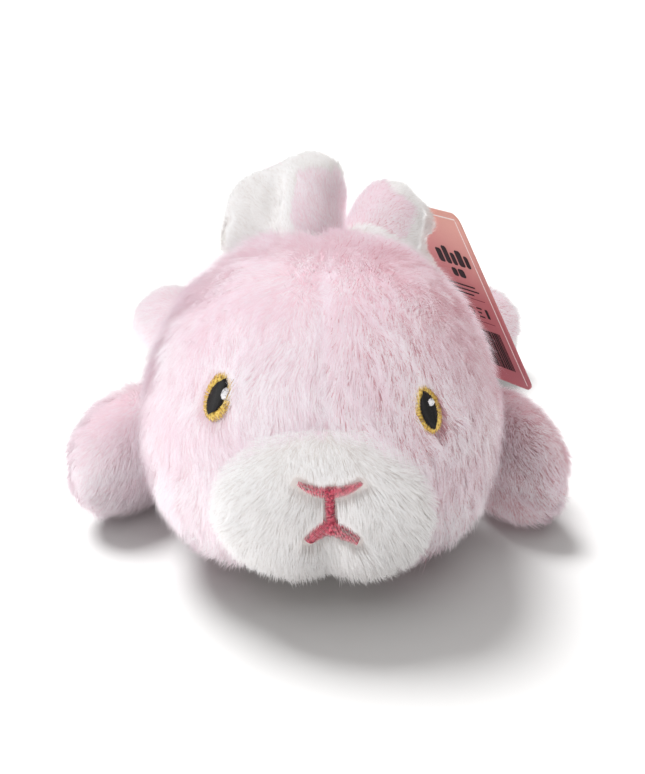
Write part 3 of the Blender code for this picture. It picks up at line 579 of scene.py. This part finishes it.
def draw_together(root, tips, middle, size, pull):
    """Pulls strands' tips together in tufts about size across."""
    share = min(1.0, 1 / max(1.0, len(root) * size * size / patch_area(root)))
    count = max(1, int(len(root) * share))
    chosen = RNG.choice(len(root), count, replace=False)
    tree = KDTree(count)
    for index, i in enumerate(chosen):
        tree.insert(Vector(root[i]), index)
    tree.balance()
    find = tree.find
    nearest = np.fromiter((find(Vector(p))[1] for p in root), int, len(root))
    leader = chosen[nearest]
    gap = np.linalg.norm(root - root[leader], axis=1) / size
    strength = (pull * np.clip(1.6 - gap, 0, 1))[:, None]
    tips += (tips[leader] - tips) * strength
    middle += (middle[leader] - middle) * strength * 0.35


def hides_pile(place, clear):
    """True for points inside an embroidered area."""
    out = np.zeros(len(place), bool)
    for centre, axes, half in clear:
        apart = (place - centre) @ axes.T
        inside = ((apart[:, :2] / half) ** 2).sum(axis=1) < 1
        out |= (np.abs(apart[:, 2]) < CLEAR_DEPTH) & inside
    return out


def free_share(place, middle, tips, clear):
    """How much of each strand can stay before it lies over an embroidered area."""
    share = np.ones(len(place))
    for step in range(SHARE_STEPS, 0, -1):
        t = step / SHARE_STEPS
        spot = place + (middle - place) * 2 * t if t < 0.5 else middle + (tips - middle) * (2 * t - 1)
        share[hides_pile(spot, clear)] = t - 1 / SHARE_STEPS
    return share


def middle_of(node):
    """The middle of a CAD node's box."""
    low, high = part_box(node)
    return np.array((low + high) / 2)


def ear_nearness(place):
    """1 at the foot of an ear, falling to 0 away from it."""
    near = np.zeros(len(place))
    for name, along in EAR_ALONG.items():
        root = middle_of(name + "_wadding") - along * EAR_MIDDLE
        near += np.exp(-(((place - root) ** 2).sum(axis=1) / EAR_FOOT ** 2))
    return np.minimum(near, 1)


def painted_shade_share(place):
    """Share of roots in a painted shade pink: none on the rabbit's lit right or at the crown, most on its
    shaded left.
    """
    left = np.clip(place[:, 0] / PAINTED_SHADE_SIDE, 0, 1)
    low = np.clip((CROWN[2] - place[:, 2]) / PAINTED_SHADE_DROP, 0, 1)
    return PAINTED_SHADE_MOST * left * low


def comb_of(name, place, panel):
    """Which way the pile lies on a body, before it is laid flat on the skin."""
    if name == "head":
        if panel in FACE_PANELS:
            brow = middle_of("nose_embroidery") + np.array((0, 0.006, 0.020))
            return unit(place - brow) - UP * 0.2
        return unit(place - CROWN) - UP * 0.35
    if name == "torso":
        return np.array((0, 0.8, -0.5)) + 0 * place
    if name == "tail":
        return unit(place - middle_of("tail_stuffing")) + np.array((0, 0.2, 0.5))
    body = middle_of(SKINS[name][2][0])
    if name in EAR_ALONG:
        away = body - np.array((body[0] * 0.4, -0.062, 0.078))
        return unit(away) + 0 * place
    start = middle_of("torso_stuffing")
    return unit(body - start) - UP * 0.9 + 0 * place


def strands(place, normal, comb, length, look):
    """Middle and tip of each strand: it rises along the comb and bends over."""
    total = len(place)
    lift = look["lift"] + LIFT_SPREAD * RNG.normal(size=total) + EAR_LIFT * ear_nearness(place)
    flow = comb + look["mess"] * wander(place, FINE_WAVE, look["seed"])
    flow += 0.5 * look["mess"] * RNG.normal(size=(total, 3))
    flow += look["sway"] * wander(place, BROAD_WAVE, look["seed"] + 1)
    flow = unit(flow - normal * (flow * normal).sum(axis=1, keepdims=True))
    half = (length * (1 + LENGTH_SPREAD * RNG.normal(size=total)))[:, None] * 0.5
    middle = place + (flow * np.cos(lift)[:, None] + normal * np.sin(lift)[:, None]) * half
    bent = lift * look["bend"]
    tips = middle + (flow * np.cos(bent)[:, None] + normal * np.sin(bent)[:, None]) * half
    return middle, tips


def ribbons(place, normal, middle, tips, width):
    """Corner points and soft shading normals of the strands."""
    total = len(place)
    width = (width * (0.8 + 0.4 * RNG.random(total)))[:, None]
    side = unit(np.cross(unit(tips - place), normal)) * width / 2
    points = np.stack((place - side, place + side, middle + side * 0.85, middle - side * 0.85, tips), axis=1)
    ribbon = unit(np.cross(side, tips - place))
    ribbon *= np.sign((ribbon * normal).sum(axis=1, keepdims=True))
    soft = unit(normal * 0.9 + ribbon * 0.3 + 0.10 * RNG.normal(size=(total, 3)))
    normals = np.repeat(soft[:, None, :], STRAND_POINTS, axis=1)
    return points.reshape(-1, 3), normals.reshape(-1, 3)


def strand_shades(place, look):
    """Material index of each strand's lower and upper face."""
    total = len(place)
    shades = look["pile"]
    tips = len(shades["tips"])
    tone = 0.5 + 0.2 * wander(place, SHADE_WAVE, look["seed"] + 2)[:, 0] + 0.9 * (RNG.random(total) - 0.5)
    tip_shade = (np.clip(tone, 0, 0.999) * tips).astype(int)
    draw = RNG.random(total)
    root_shade = tips + (draw * len(shades["roots"])).astype(int)
    # Roots on the rabbit's shaded left take the painted shade pink.
    if shades["deep"]:
        root_shade[draw < painted_shade_share(place)] = tips + len(shades["roots"])
    return np.stack((root_shade, tip_shade), axis=1).ravel()


def pile(name, body, panel, roots, look, clear):
    """One panel's pile as real strands: a lower quad and an upper triangle each."""
    place, normal, comb, length = roots
    middle, tips = strands(place, normal, comb, length, look)
    draw_together(place, tips, middle, look["tuft"], look["pull"])
    share = free_share(place, middle, tips, clear)
    keep = share > SHORTEST_SHARE
    place, normal, share = place[keep], normal[keep], share[keep][:, None]
    middle = place + (middle[keep] - place) * share
    tips = place + (tips[keep] - place) * share
    total = len(place)
    for points in (middle, tips):
        points[:, 2] = np.maximum(points[:, 2], FLOOR_GAP + FLOOR_SPREAD * RNG.random(total))
    points, normals = ribbons(place, normal, middle, tips, look["width"])
    first = (np.arange(total) * STRAND_POINTS)[:, None]
    corners = np.concatenate((first + (0, 1, 2, 3), first + (3, 2, 4)), axis=1).ravel()
    sizes = np.tile((4, 3), total)
    mesh = mesh_from(name, points, sizes, corners, strand_shades(place, look), normals)
    shades = look["pile"]
    obj = new_object(name, mesh, *shades["tips"], *shades["roots"], *shades["deep"])
    obj.visible_shadow = False
    seat(obj, body, "white_plush" if panel in WHITE_PANELS else "pink_plush")


def grow(name, skin, clear):
    """All the pile of one body, a piece for each sewn panel."""
    body, kind, panels, _ = SKINS[name]
    place, normal, apart = sprinkle(skin, LOOKS[kind]["density"])
    owner = apart.argmin(axis=1)
    seam = seam_share(apart)
    keep = ~hides_pile(place, clear)
    for index, panel in enumerate(panels):
        mine = (owner == index) & keep
        look = dict(LOOKS[kind], seed=100 + 10 * len(name) + index)
        look["pile"] = WHITE_PILE if panel in WHITE_PANELS else PINK_PILE
        if panel in FACE_PANELS:
            look.update(MUZZLE_LOOK)
        length = look["length"] * (1 - SEAM_SHORTENS * seam[mine])
        length *= 1 + EAR_LENGTH * ear_nearness(place[mine])
        comb = comb_of(name, place[mine], panel)
        pile(panel + "_pile", body, panel, (place[mine], normal[mine], comb, length), look, clear)


# ---------------------------------------------------------------- embroidery


def tube(path, radius, sides=5):
    """Points and quads of a thread along a path, thin at both ends."""
    path = np.asarray(path, float)
    along = unit(np.gradient(path, axis=0))
    side = unit(np.cross(along, (0.31, 0.42, 0.85)))
    other = np.cross(along, side)
    count = len(path)
    taper = np.ones(count)
    taper[0] = taper[-1] = 0.55
    turn = np.arange(sides) * 2 * math.pi / sides
    ring = np.cos(turn)[None, :, None] * side[:, None] + np.sin(turn)[None, :, None] * other[:, None]
    points = (path[:, None] + ring * (radius * taper)[:, None, None]).reshape(-1, 3)
    pairs = [(b, (b + 1) % sides) for b in range(sides)]
    faces = [(a + b, a + c, a + sides + c, a + sides + b)
             for a in range(0, (count - 1) * sides, sides) for b, c in pairs]
    faces.append(tuple(range(sides))[::-1])
    faces.append(tuple((count - 1) * sides + b for b in range(sides)))
    return points, faces


def threads(name, paths, radius, mat):
    """One piece made of many threads."""
    all_points, sizes, corners = [], [], []
    start = 0
    for path in paths:
        points, faces = tube(path, radius)
        all_points.append(points)
        for face in faces:
            sizes.append(len(face))
            corners += [start + i for i in face]
        start += len(points)
    return new_object(name, mesh_from(name, np.concatenate(all_points), sizes, corners), mat)


def stitch(a, b, out, rise, steps=5):
    """A satin stitch: an arch from a to b."""
    t = np.linspace(0, 1, steps)[:, None]
    return a * (1 - t) + b * t + out * (rise * np.sin(math.pi * t) ** 0.7)


class Surface:
    """The head's padded skin, for laying embroidery on it."""

    def __init__(self, skin):
        self.tree = BVHTree.FromPolygons(skin["points"].tolist(), skin["triangles"].tolist())

    def under(self, point, out, rise):
        """The skin's point under a point, lifted along out."""
        hit = self.tree.ray_cast(Vector(point + out * 0.02), Vector(-out))[0]
        base = np.array(hit) if hit is not None else point
        return base + out * rise


def flat_axes(node, away):
    """Middle and axes of a flat CAD node: across, up and outward."""
    points = points_of(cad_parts[node].data)
    centre = points.mean(axis=0)
    out, _, up = np.linalg.eigh(np.cov((points - centre).T))[1].T
    out = out * np.sign(out @ (centre - away))
    up = up * np.sign(up[2])
    axes = np.array((np.cross(up, out), up, out))
    apart = (points - centre) @ axes.T
    return centre + (apart.min(axis=0) + apart.max(axis=0)) / 2 @ axes, axes


def half_size(node, centre, axes):
    """Half the node's size along its axes."""
    apart = (points_of(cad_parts[node].data) - centre) @ axes.T
    return (apart.max(axis=0) - apart.min(axis=0)) / 2


RING_STITCHES = 76
RING_INNER = 0.84            # the ring's stitches start this far out in the pupil, and end past its rim
RING_OUTER = 1.04
RING_RISES = (0.0014, 0.0008)
PUPIL_ROWS = 34
PUPIL_TILT = 0.0007
PUPIL_RISE = 0.0016
GLINT_STITCHES = 6
GLINT_PITCH = 0.00028
GLINT_RISE = 0.0022
GLINT_HEIGHT = {"right": 0.0017, "left": 0.0010}
GLINT_SHIFT = {"right": 0.0012, "left": 0.0}
EYE_THREADS = {"ring": (0.00013, GOLD, "gold_thread"), "pupil": (0.00021, BLACK, "black_thread"),
               "highlight": (0.00017, BRIGHT, "white_thread")}


def ring_stitches(spot, half, inner, out, rng):
    """Radial stitches in two layers, from under the pupil to just past the ring's rim."""
    paths = []
    for angle in np.linspace(0, 2 * math.pi, RING_STITCHES, endpoint=False):
        for layer in (0, 1):
            turn = angle + 0.04 * layer + rng.normal() * 0.02
            way = (math.cos(turn), math.sin(turn))
            b = spot(*(half * (RING_OUTER + 0.10 * rng.random()) * way), RING_RISES[1])
            a = spot(*(inner * RING_INNER * way), RING_RISES[0])
            paths.append(stitch(a, b, out, 0.0003 + 0.0001 * layer))
    return paths


def pupil_stitches(spot, inner, out, rng):
    """Rows of satin stitch across the pupil."""
    paths = []
    for row in range(PUPIL_ROWS):
        v = inner[1] * (2 * (row + 0.5) / PUPIL_ROWS - 1)
        chord = math.sqrt(max(0.02, 1 - (v / inner[1]) ** 2))
        reach = inner[0] * chord * (0.94 + 0.12 * rng.random())
        a = spot(-reach, v - PUPIL_TILT, PUPIL_RISE)
        b = spot(reach, v + PUPIL_TILT, PUPIL_RISE)
        paths.append(stitch(a, b, out, 0.0005))
    return paths


def glint_stitches(spot, across, up, height, out):
    """Short upright stitches, longest in the middle."""
    paths = []
    for k in range(GLINT_STITCHES):
        off = k - (GLINT_STITCHES - 1) / 2
        u = across + GLINT_PITCH * off
        reach = height * math.sqrt(1 - (off / 3.4) ** 2)
        paths.append(stitch(spot(u, up - reach, GLINT_RISE), spot(u, up + reach, GLINT_RISE), out, 0.0003))
    return paths


def build_eye(side, surface):
    """Gold ring of radial stitches, black satin pupil and a white glint."""
    centre, axes = flat_axes(side + "_eye_ring", middle_of("head_stuffing"))
    across, up, out = axes
    half = half_size(side + "_eye_ring", centre, axes)[:2]
    inner = half_size(side + "_eye_pupil", centre, axes)[:2] * 1.04
    glint = middle_of(side + "_eye_highlight") - centre
    rng = np.random.default_rng(5 if side == "left" else 6)

    def spot(u, v, rise):
        return surface.under(centre + across * u + up * v, out, rise)

    fields = {"ring": ring_stitches(spot, half, inner, out, rng),
              "pupil": pupil_stitches(spot, inner, out, rng),
              "highlight": glint_stitches(spot, glint @ across + GLINT_SHIFT[side], glint @ up,
                                          GLINT_HEIGHT[side], out)}
    for part, paths in fields.items():
        radius, mat, slot = EYE_THREADS[part]
        obj = threads(f"{side}_eye_{part}_stitches", paths, radius, mat)
        seat(obj, "head", slot, f"{side}_eye_{part}")
    return centre, axes, half


MOUTH_SHIFT = Vector((0.0010, 0.0, 0.0028))     # the puffed cheeks carry the mouth up and aside
FACE_LIFT = 0.0015           # the stuffed muzzle carries its stitching a little higher than the flat pattern


def face_line(surface, points, out, rise, steps=24):
    """A smooth line through three face points (x, z), laid on the skin."""
    a, b, c = (np.array(p, float) for p in points)
    line = []
    for t in np.linspace(0, 1, steps):
        x, z = a * (1 - t) ** 2 + 2 * b * t * (1 - t) + c * t * t
        line.append(surface.under(np.array((x, -0.150, z + FACE_LIFT)), out, rise))
    return np.array(line)


def satin(line, out, width_at, spacing, rng):
    """Stitches across a line, side by side."""
    steps = np.linalg.norm(np.diff(line, axis=0), axis=1)
    total = steps.sum()
    where = np.concatenate(([0], np.cumsum(steps)))
    paths = []
    for s in np.arange(spacing / 2, total, spacing):
        middle = np.array([np.interp(s, where, line[:, k]) for k in range(3)])
        ahead = np.array([np.interp(min(total, s + 0.0004), where, line[:, k]) for k in range(3)])
        behind = np.array([np.interp(max(0, s - 0.0004), where, line[:, k]) for k in range(3)])
        along = unit(ahead - behind)
        side = unit(np.cross(along, out)) + along * 0.25
        reach = width_at(s / total) * (0.92 + 0.2 * rng.random()) / 2
        base = middle - out * (0.0004 - 0.0003 * rng.random())
        paths.append(stitch(base - side * reach, base + side * reach, out, 0.0008))
    return paths


def face_lines():
    """The stitched lines of the face, each through three points (x, z) worked out from the CAD nodes."""
    low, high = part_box("nose_embroidery")
    stem_low, stem_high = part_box("philtrum_embroidery")
    mouth_low, mouth_high = (corner + MOUTH_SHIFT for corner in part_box("mouth_embroidery"))
    mid = (stem_low.x + stem_high.x) / 2
    bar_mid = (low.z + high.z) / 2
    bar = ((low.x, high.z - 0.0006), (mid, low.z - 0.0026), (high.x, high.z - 0.0004))
    top = mouth_high.z - 0.0010
    stem = ((mid, bar_mid - 0.0006), (mid, bar_mid * 0.5 + mouth_high.z * 0.5), (mid + 0.0004, top))
    half_way = (mouth_low.z + mouth_high.z) / 2 + 0.0006
    mouth = [((mid, top), (mid * 0.5 + end * 0.5, half_way), (end, mouth_low.z + 0.0006))
             for end in (mouth_low.x + 0.0005, mouth_high.x - 0.0005)]
    return {"nose": [bar], "philtrum": [stem], "mouth": mouth}


FACE_OUT = np.array((0.02, -0.99, 0.12))
FACE_OUT /= np.linalg.norm(FACE_OUT)
FACE_RISE = {"nose": 0.0014, "philtrum": 0.0013, "mouth": 0.0013}
FACE_WIDTH = {"nose": lambda t: 0.0031 * (0.3 + 0.7 * math.sin(math.pi * t) ** 0.8),
              "philtrum": lambda t: 0.0025,
              "mouth": lambda t: 0.0056 * (1 - 0.6 * t)}
FACE_SPACING = 0.00040
FACE_THREAD = 0.00015
FACE_CLEAR = 0.0019          # no pile grows within this distance of the lines
FACE_AXES = np.array(((1, 0, 0), (0, 0, 1), (0, 1, 0)), float)


def build_nose(surface):
    """Nose bar, stem and mouth, in two layers of rose satin stitch; returns where no pile may grow."""
    rng = np.random.default_rng(9)
    clear = []
    for part, curves in face_lines().items():
        paths = []
        for curve in curves:
            line = face_line(surface, curve, FACE_OUT, FACE_RISE[part])
            for _ in range(2):
                paths += satin(line, FACE_OUT, FACE_WIDTH[part], FACE_SPACING, rng)
            clear += [(point, FACE_AXES, np.array((FACE_CLEAR, FACE_CLEAR))) for point in line[::2]]
        obj = threads(part + "_stitches", paths, FACE_THREAD, ROSE)
        seat(obj, "head", "rose_thread", part + "_embroidery")
    return clear


# ---------------------------------------------------------------- tag


TAG_HALF = (0.0185, 0.03275)
PRINT_RISE = 0.00036         # the print lies this far out from the middle of the card


def printed(name, shapes, mat):
    """Flat printed shapes on the tag's face, each a loop of (across, up) points."""
    centre, (across, up, out) = tag_axes()
    points, sizes, corners = [], [], []
    for loop in shapes:
        corners += range(len(points), len(points) + len(loop))
        sizes.append(len(loop))
        points += [centre + across * a + up * b + out * PRINT_RISE for a, b in loop]
    obj = new_object(name, mesh_from(name, np.array(points), sizes, corners), mat)
    seat(obj, "tag", "printed_card")


def tag_axes():
    """Middle of the card and its axes: across, up and out of the printed face."""
    return flat_axes("hang_tag", np.array((0.3, 0.2, 0.2)))


def block(left, low, wide, high, corner=0.0004):
    """A printed bar with slightly rounded corners."""
    spans = ((wide - corner, high), (wide, high - corner), (wide, corner), (wide - corner, 0),
             (corner, 0), (0, corner), (0, high - corner), (corner, high))
    return [(left + a, low + b) for a, b in spans]


def ring_band(centre, radius, width, count=20):
    """A printed ring as a row of quads."""
    turn = np.linspace(0, 2 * math.pi, count + 1)
    loops = []
    for a, b in zip(turn, turn[1:]):
        loops.append([(centre[0] + r * math.cos(t), centre[1] + r * math.sin(t))
                      for r, t in ((radius, a), (radius + width, a), (radius + width, b), (radius, b))])
    return loops


def card_material():
    """Coated card: salmon at the top turning to deep rose, with a slow mottled print grain."""
    mat, tree, bsdf = shader("tag_card")
    centre, (across, up, _) = tag_axes()
    place = tree.nodes.new("ShaderNodeTexCoord")
    slope = tree.nodes.new("ShaderNodeVectorMath")
    slope.operation = "DOT_PRODUCT"
    fade = up * 0.9 + across * 0.45
    slope.inputs[1].default_value = fade
    tree.links.new(place.outputs["Object"], slope.inputs[0])
    shift = float(centre @ fade)
    ranged = add_node(tree, "ShaderNodeMapRange")
    ranged.inputs["From Min"].default_value = shift - TAG_HALF[1]
    ranged.inputs["From Max"].default_value = shift + TAG_HALF[1]
    tree.links.new(slope.outputs["Value"], ranged.inputs["Value"])
    grain = noise_of(tree, 900)
    mix = tree.nodes.new("ShaderNodeMath")
    mix.operation = "MULTIPLY_ADD"
    mix.inputs[1].default_value = 0.06
    tree.links.new(grain.outputs["Fac"], mix.inputs[0])
    tree.links.new(ranged.outputs["Result"], mix.inputs[2])
    colour = ramp_of(tree, mix.outputs["Value"], (0.12, linear(176, 86, 98)), (0.62, linear(190, 106, 110)),
                     (1.0, linear(230, 170, 156)))
    tree.links.new(colour, bsdf.inputs["Base Color"])
    bsdf.inputs["Roughness"].default_value = 0.35
    return mat


def ink(name, colour):
    """Printing ink with a slight mottle."""
    pale = tuple(min(1, c * 1.35 + 0.004) for c in colour)
    return mottled(name, (1600,), (0.35, colour), (0.75, pale), Roughness=0.6, Specular_IOR_Level=0.2)


TITLE_ROWS = ((0.0125, ((-0.0040, 0.0034, 0.0052), (0.0002, 0.0030, 0.0066), (0.0040, 0.0026, 0.0046),
                        (0.0074, 0.0034, 0.0060), (0.0116, 0.0024, 0.0046))),
              (0.0080, ((0.0010, 0.0030, 0.0032), (0.0046, 0.0036, 0.0032))))
LINE_LENGTHS = (0.0165, 0.0178, 0.0140)
LINE_TOP = 0.0046
LINE_PITCH = 0.0016
RING_PLACES = ((-0.0030, -0.0046), (0.0020, -0.0050))
DASH_LENGTHS = (0.0030, 0.0022, 0.0030)
DASH_LEFT = 0.0058
DASH_LOW = -0.0068
RULE_HEIGHTS = (-0.0088, 0.0)
BARS_FROM = -0.0040
BARS_TO = 0.0126
BARS_LOW = -0.0265
BARS_HIGH = 0.0145
INSET = 0.0017               # the pale line runs this far inside the card's edge
FINE = 0.0005                # and is this wide


def title_blocks():
    """Rounded upright blocks in two rows, with three plain lines under them."""
    blocks = [block(left, row, wide, high, 0.0006) for row, spans in TITLE_ROWS for left, wide, high in spans]
    lines = [block(-0.0060, LINE_TOP - LINE_PITCH * k, length, 0.0006, 0.0001)
             for k, length in enumerate(LINE_LENGTHS)]
    return blocks + lines


def marks():
    """Two rings, three dashes and an upright block."""
    shapes = [loop for place in RING_PLACES for loop in ring_band(place, 0.0013, 0.0004)]
    shapes += [block(DASH_LEFT, DASH_LOW + LINE_PITCH * k, length, 0.0006, 0.0001)
               for k, length in enumerate(DASH_LENGTHS)]
    return shapes + [block(0.0104, -0.0066, 0.0016, 0.0036, 0.0003)]


def bars():
    """A field of upright bars of random widths, which stand for nothing."""
    rng = np.random.default_rng(4)
    shapes = []
    x = BARS_FROM
    while x < BARS_TO:
        width = float(rng.choice((0.0003, 0.0005, 0.0009)))
        shapes.append(block(x, BARS_LOW, width, BARS_HIGH, 0.00005))
        x += width + float(rng.choice((0.00018, 0.0003)))
    return shapes


def build_tag():
    """The swing tag's finish: shaded card, a pale inner line and plain printed blocks, rules and bars."""
    paint("hang_tag", card_material())
    wide, high = (size - INSET for size in TAG_HALF)
    dark = ink("tag_ink", linear(30, 14, 20))
    soft = ink("tag_soft_ink", linear(122, 58, 70))
    pale = ink("tag_pale_ink", linear(248, 232, 228))
    printed("tag_title_blocks", title_blocks(), dark)
    printed("tag_marks", marks(), dark)
    printed("tag_rules", [block(-0.0100, height, 0.0230, 0.0003, 0.0001) for height in RULE_HEIGHTS], soft)
    printed("tag_bars", bars(), dark)
    line = [block(-wide, high - FINE, 2 * wide, FINE, 0.0002),
            block(wide - FINE, -high, FINE, 2 * high - 0.0006, 0.0002)]
    printed("tag_inner_line", line, pale)


def paint(node, mat):
    """Gives a carried-over CAD node its finish."""
    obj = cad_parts[node]
    obj.data.materials.clear()
    obj.data.materials.append(mat)


def stuffing_material():
    """Fluffy polyester filling: matted fibres seen as soft streaks and bumps."""
    matting = (400, 6, (1, 1, 4))
    mat = mottled("polyester_filling", matting, (0.3, linear(224, 222, 216)), (0.7, linear(246, 246, 243)),
                  Roughness=0.95, Sheen_Weight=0.4)
    roughen(mat, matting, 0.6, 0.0008)
    return mat


def woven_material(name, warp, weft, scale):
    """Plain woven cloth: two crossed thread waves."""
    mat, tree, bsdf = shader(name)
    place = tree.nodes.new("ShaderNodeTexCoord")
    waves = []
    for direction in ("X", "Y"):
        wave = add_node(tree, "ShaderNodeTexWave", Scale=scale, Distortion=0.4)
        wave.bands_direction = direction
        tree.links.new(place.outputs["Object"], wave.inputs["Vector"])
        waves.append(wave)
    cross = tree.nodes.new("ShaderNodeMath")
    cross.operation = "MULTIPLY"
    tree.links.new(waves[0].outputs["Fac"], cross.inputs[0])
    tree.links.new(waves[1].outputs["Fac"], cross.inputs[1])
    shade = ramp_of(tree, cross.outputs["Value"], (0.1, weft), (0.6, warp))
    tree.links.new(shade, bsdf.inputs["Base Color"])
    bsdf.inputs["Roughness"].default_value = 0.6
    return mat


def clear_plastic():
    """Milky clear plastic of the tag's pin, a little cloudy."""
    return mottled("pin_plastic", (700,), (0.3, linear(226, 204, 204)), (0.7, linear(248, 238, 236)),
                   Roughness=0.25, Coat_Weight=0.4)


def build_inside():
    """Finishes of the pieces that are inside or are kept as packed."""
    filling = stuffing_material()
    for _, _, _, fill in SKINS.values():
        for node in fill:
            if node != "bean_pouch":
                paint(node, filling)
                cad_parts[node].visible_shadow = not node.endswith("wadding")
    canvas = woven_material("bean_pouch_cloth", linear(226, 220, 204), linear(188, 182, 166), 900)
    paint("bean_pouch", canvas)
    paint("tag_fastener", clear_plastic())


LABEL_CELLS = (14, 10)
LABEL_DROOP = 0.0012
LABEL_BOW = 0.0002


def build_label():
    """The sewn-in label: a strip of satin that bows and droops a little."""
    low, high = (np.array(corner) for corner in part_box("sewn_label"))
    across, down = LABEL_CELLS
    t = np.linspace(0, 1, across)
    points = []
    for side in (-1, 1):
        for z in np.linspace(low[2], high[2], down):
            droop = -LABEL_DROOP * t ** 2
            bow = LABEL_BOW * np.sin(math.pi * (z - low[2]) / (high[2] - low[2]))
            x = (low[0] + high[0]) / 2 + side * (0.00014 + 0.00022 * np.sin(math.pi * t)) + bow
            points.append(np.column_stack((x, low[1] + (high[1] - low[1]) * t, z + droop)))
    points = np.concatenate(points)
    cell = [(a * across + b, a * across + b + 1, (a + 1) * across + b + 1, (a + 1) * across + b)
            for a in range(down - 1) for b in range(across - 1)]
    back = down * across
    faces = [f[::-1] for f in cell] + [tuple(i + back for i in f) for f in cell]
    rim = list(range(across)) + [a * across + across - 1 for a in range(1, down)]
    rim += [(down - 1) * across + b for b in range(across - 2, -1, -1)]
    rim += [a * across for a in range(down - 2, 0, -1)]
    faces += [(a, b, b + back, a + back) for a, b in zip(rim, rim[1:] + rim[:1])]
    mesh = mesh_from("sewn_label_satin", points, [4] * len(faces), [i for f in faces for i in f])
    mesh.shade_flat()
    satin_weave = woven_material("label_satin", linear(250, 249, 246), linear(232, 230, 226), 2600)
    seat(new_object("sewn_label_satin", mesh, satin_weave), "torso", "label_satin", "sewn_label")


# ---------------------------------------------------------------- stage

KEY = {"place": (-0.88, -0.50, 1.08), "aim": (0, -0.08, 0.05), "energy": 7.9, "size": 0.5}
RIM = {"place": (0.55, 0.75, 0.60), "aim": (0, 0, 0.04), "energy": 1.9, "size": 0.6}
FILL = {"place": (-0.6, -0.05, -0.8), "aim": (0, 0, 0), "energy": 0.65, "size": math.radians(40)}
WASH = {"place": (-0.42, 0.80, 1.15), "aim": (0, 0, 0), "energy": 7.2, "size": math.radians(25)}
EVEN = {"place": (0, 0, 1), "aim": (0, 0, 0), "energy": 1.6, "size": math.radians(90)}
KEY_TINT = (0.96, 0.975, 1.0)
FILL_TINT = (1.0, 0.93, 0.92)
WORLD_TINT = (1.0, 0.955, 0.93)
WORLD_POWER = 0.52
FLOOR_HALF = 6.0
CAMERA_PLACE = (0, -0.5072, 0.2166)
CAMERA_AIM = (0, -0.09, 0.048)
CAMERA_LENS = 73.44


def aimed(place, aim):
    """Rotation of a lamp or camera at place that looks at aim."""
    return (Vector(aim) - Vector(place)).to_track_quat("-Z", "Y").to_euler()


def add_light(name, kind, place, aim, energy, size):
    """A lamp at a place, pointing at another."""
    light = bpy.data.lights.new(name, kind)
    light.energy = energy
    if kind == "SUN":
        light.angle = size
    else:
        light.size = size
    obj = bpy.data.objects.new(name, light)
    obj.location = place
    obj.rotation_euler = aimed(place, aim)
    bpy.context.scene.collection.objects.link(obj)
    return obj


def build_floor():
    """A wide pale matte floor with the faintest unevenness."""
    mat = mottled("floor", (3,), (0.3, (0.44, 0.44, 0.44)), (0.7, (0.46, 0.46, 0.46)), Roughness=1,
                  Specular_IOR_Level=0)
    corners = np.array(((-1, -1, 0), (1, -1, 0), (1, 1, 0), (-1, 1, 0)), float)
    return new_object("floor", mesh_from("floor", corners * FLOOR_HALF, [4], [0, 1, 2, 3]), mat)


def build_lights(floor):
    """Key, rim and fill light the rabbit only; wash and even light the floor only."""
    key = add_light("key", "AREA", **KEY)
    key.data.color = KEY_TINT
    fill = add_light("fill", "SUN", **FILL)
    fill.data.color = FILL_TINT
    fill.data.use_shadow = False
    rim = add_light("rim", "AREA", **RIM)
    wash = add_light("wash", "SUN", **WASH)
    even = add_light("even", "SUN", **EVEN)
    even.data.use_shadow = False
    only_floor = bpy.data.collections.new("floor_only")
    only_floor.objects.link(floor)
    not_floor = bpy.data.collections.new("all_but_floor")
    not_floor.objects.link(floor)
    not_floor.collection_objects[0].light_linking.link_state = "EXCLUDE"
    for light in (key, rim, fill):
        light.light_linking.receiver_collection = not_floor
    for light in (wash, even):
        light.light_linking.receiver_collection = only_floor
    return key, rim, fill, wash, even


def build_world():
    """An even warm sky, which the camera sees as white."""
    world = bpy.data.worlds.new("studio")
    world.use_nodes = True
    tree = world.node_tree
    ray = tree.nodes.new("ShaderNodeLightPath")
    sky = tuple(WORLD_POWER * c for c in WORLD_TINT)
    seen = ramp_of(tree, ray.outputs["Is Camera Ray"], (0, sky), (1, (1, 1, 1)))
    tree.links.new(seen, tree.nodes["Background"].inputs["Color"])
    bpy.context.scene.world = world


def build_camera():
    """The camera, in front of the rabbit and above it."""
    camera = bpy.data.objects.new("camera", bpy.data.cameras.new("camera"))
    camera.data.lens = CAMERA_LENS
    camera.data.clip_start = 0.01
    camera.location = CAMERA_PLACE
    camera.rotation_euler = aimed(CAMERA_PLACE, CAMERA_AIM)
    bpy.context.scene.collection.objects.link(camera)
    bpy.context.scene.camera = camera


def build_stage():
    """Plain pale floor, soft studio light and the camera."""
    floor = build_floor()
    lights = build_lights(floor)
    build_world()
    build_camera()
    bpy.context.scene.view_settings.view_transform = "Standard"


# ---------------------------------------------------------------- build


def main():
    """Builds every piece, then the stage."""
    skins = {name: start_skin(name) for name in SKINS}
    inflate(skins)
    done = {}
    for name, (obj, _) in skins.items():
        done[name] = finish_skin(obj, name)
        panel_cloths(name, done[name])
        bpy.data.objects.remove(obj)
    surface = Surface(done["head"])
    clear = [build_eye(side, surface) for side in ("left", "right")]
    clear += build_nose(surface)
    for name, skin in done.items():
        grow(name, skin, clear if name == "head" else [])
    build_tag()
    build_inside()
    build_label()
    build_stage()


main()
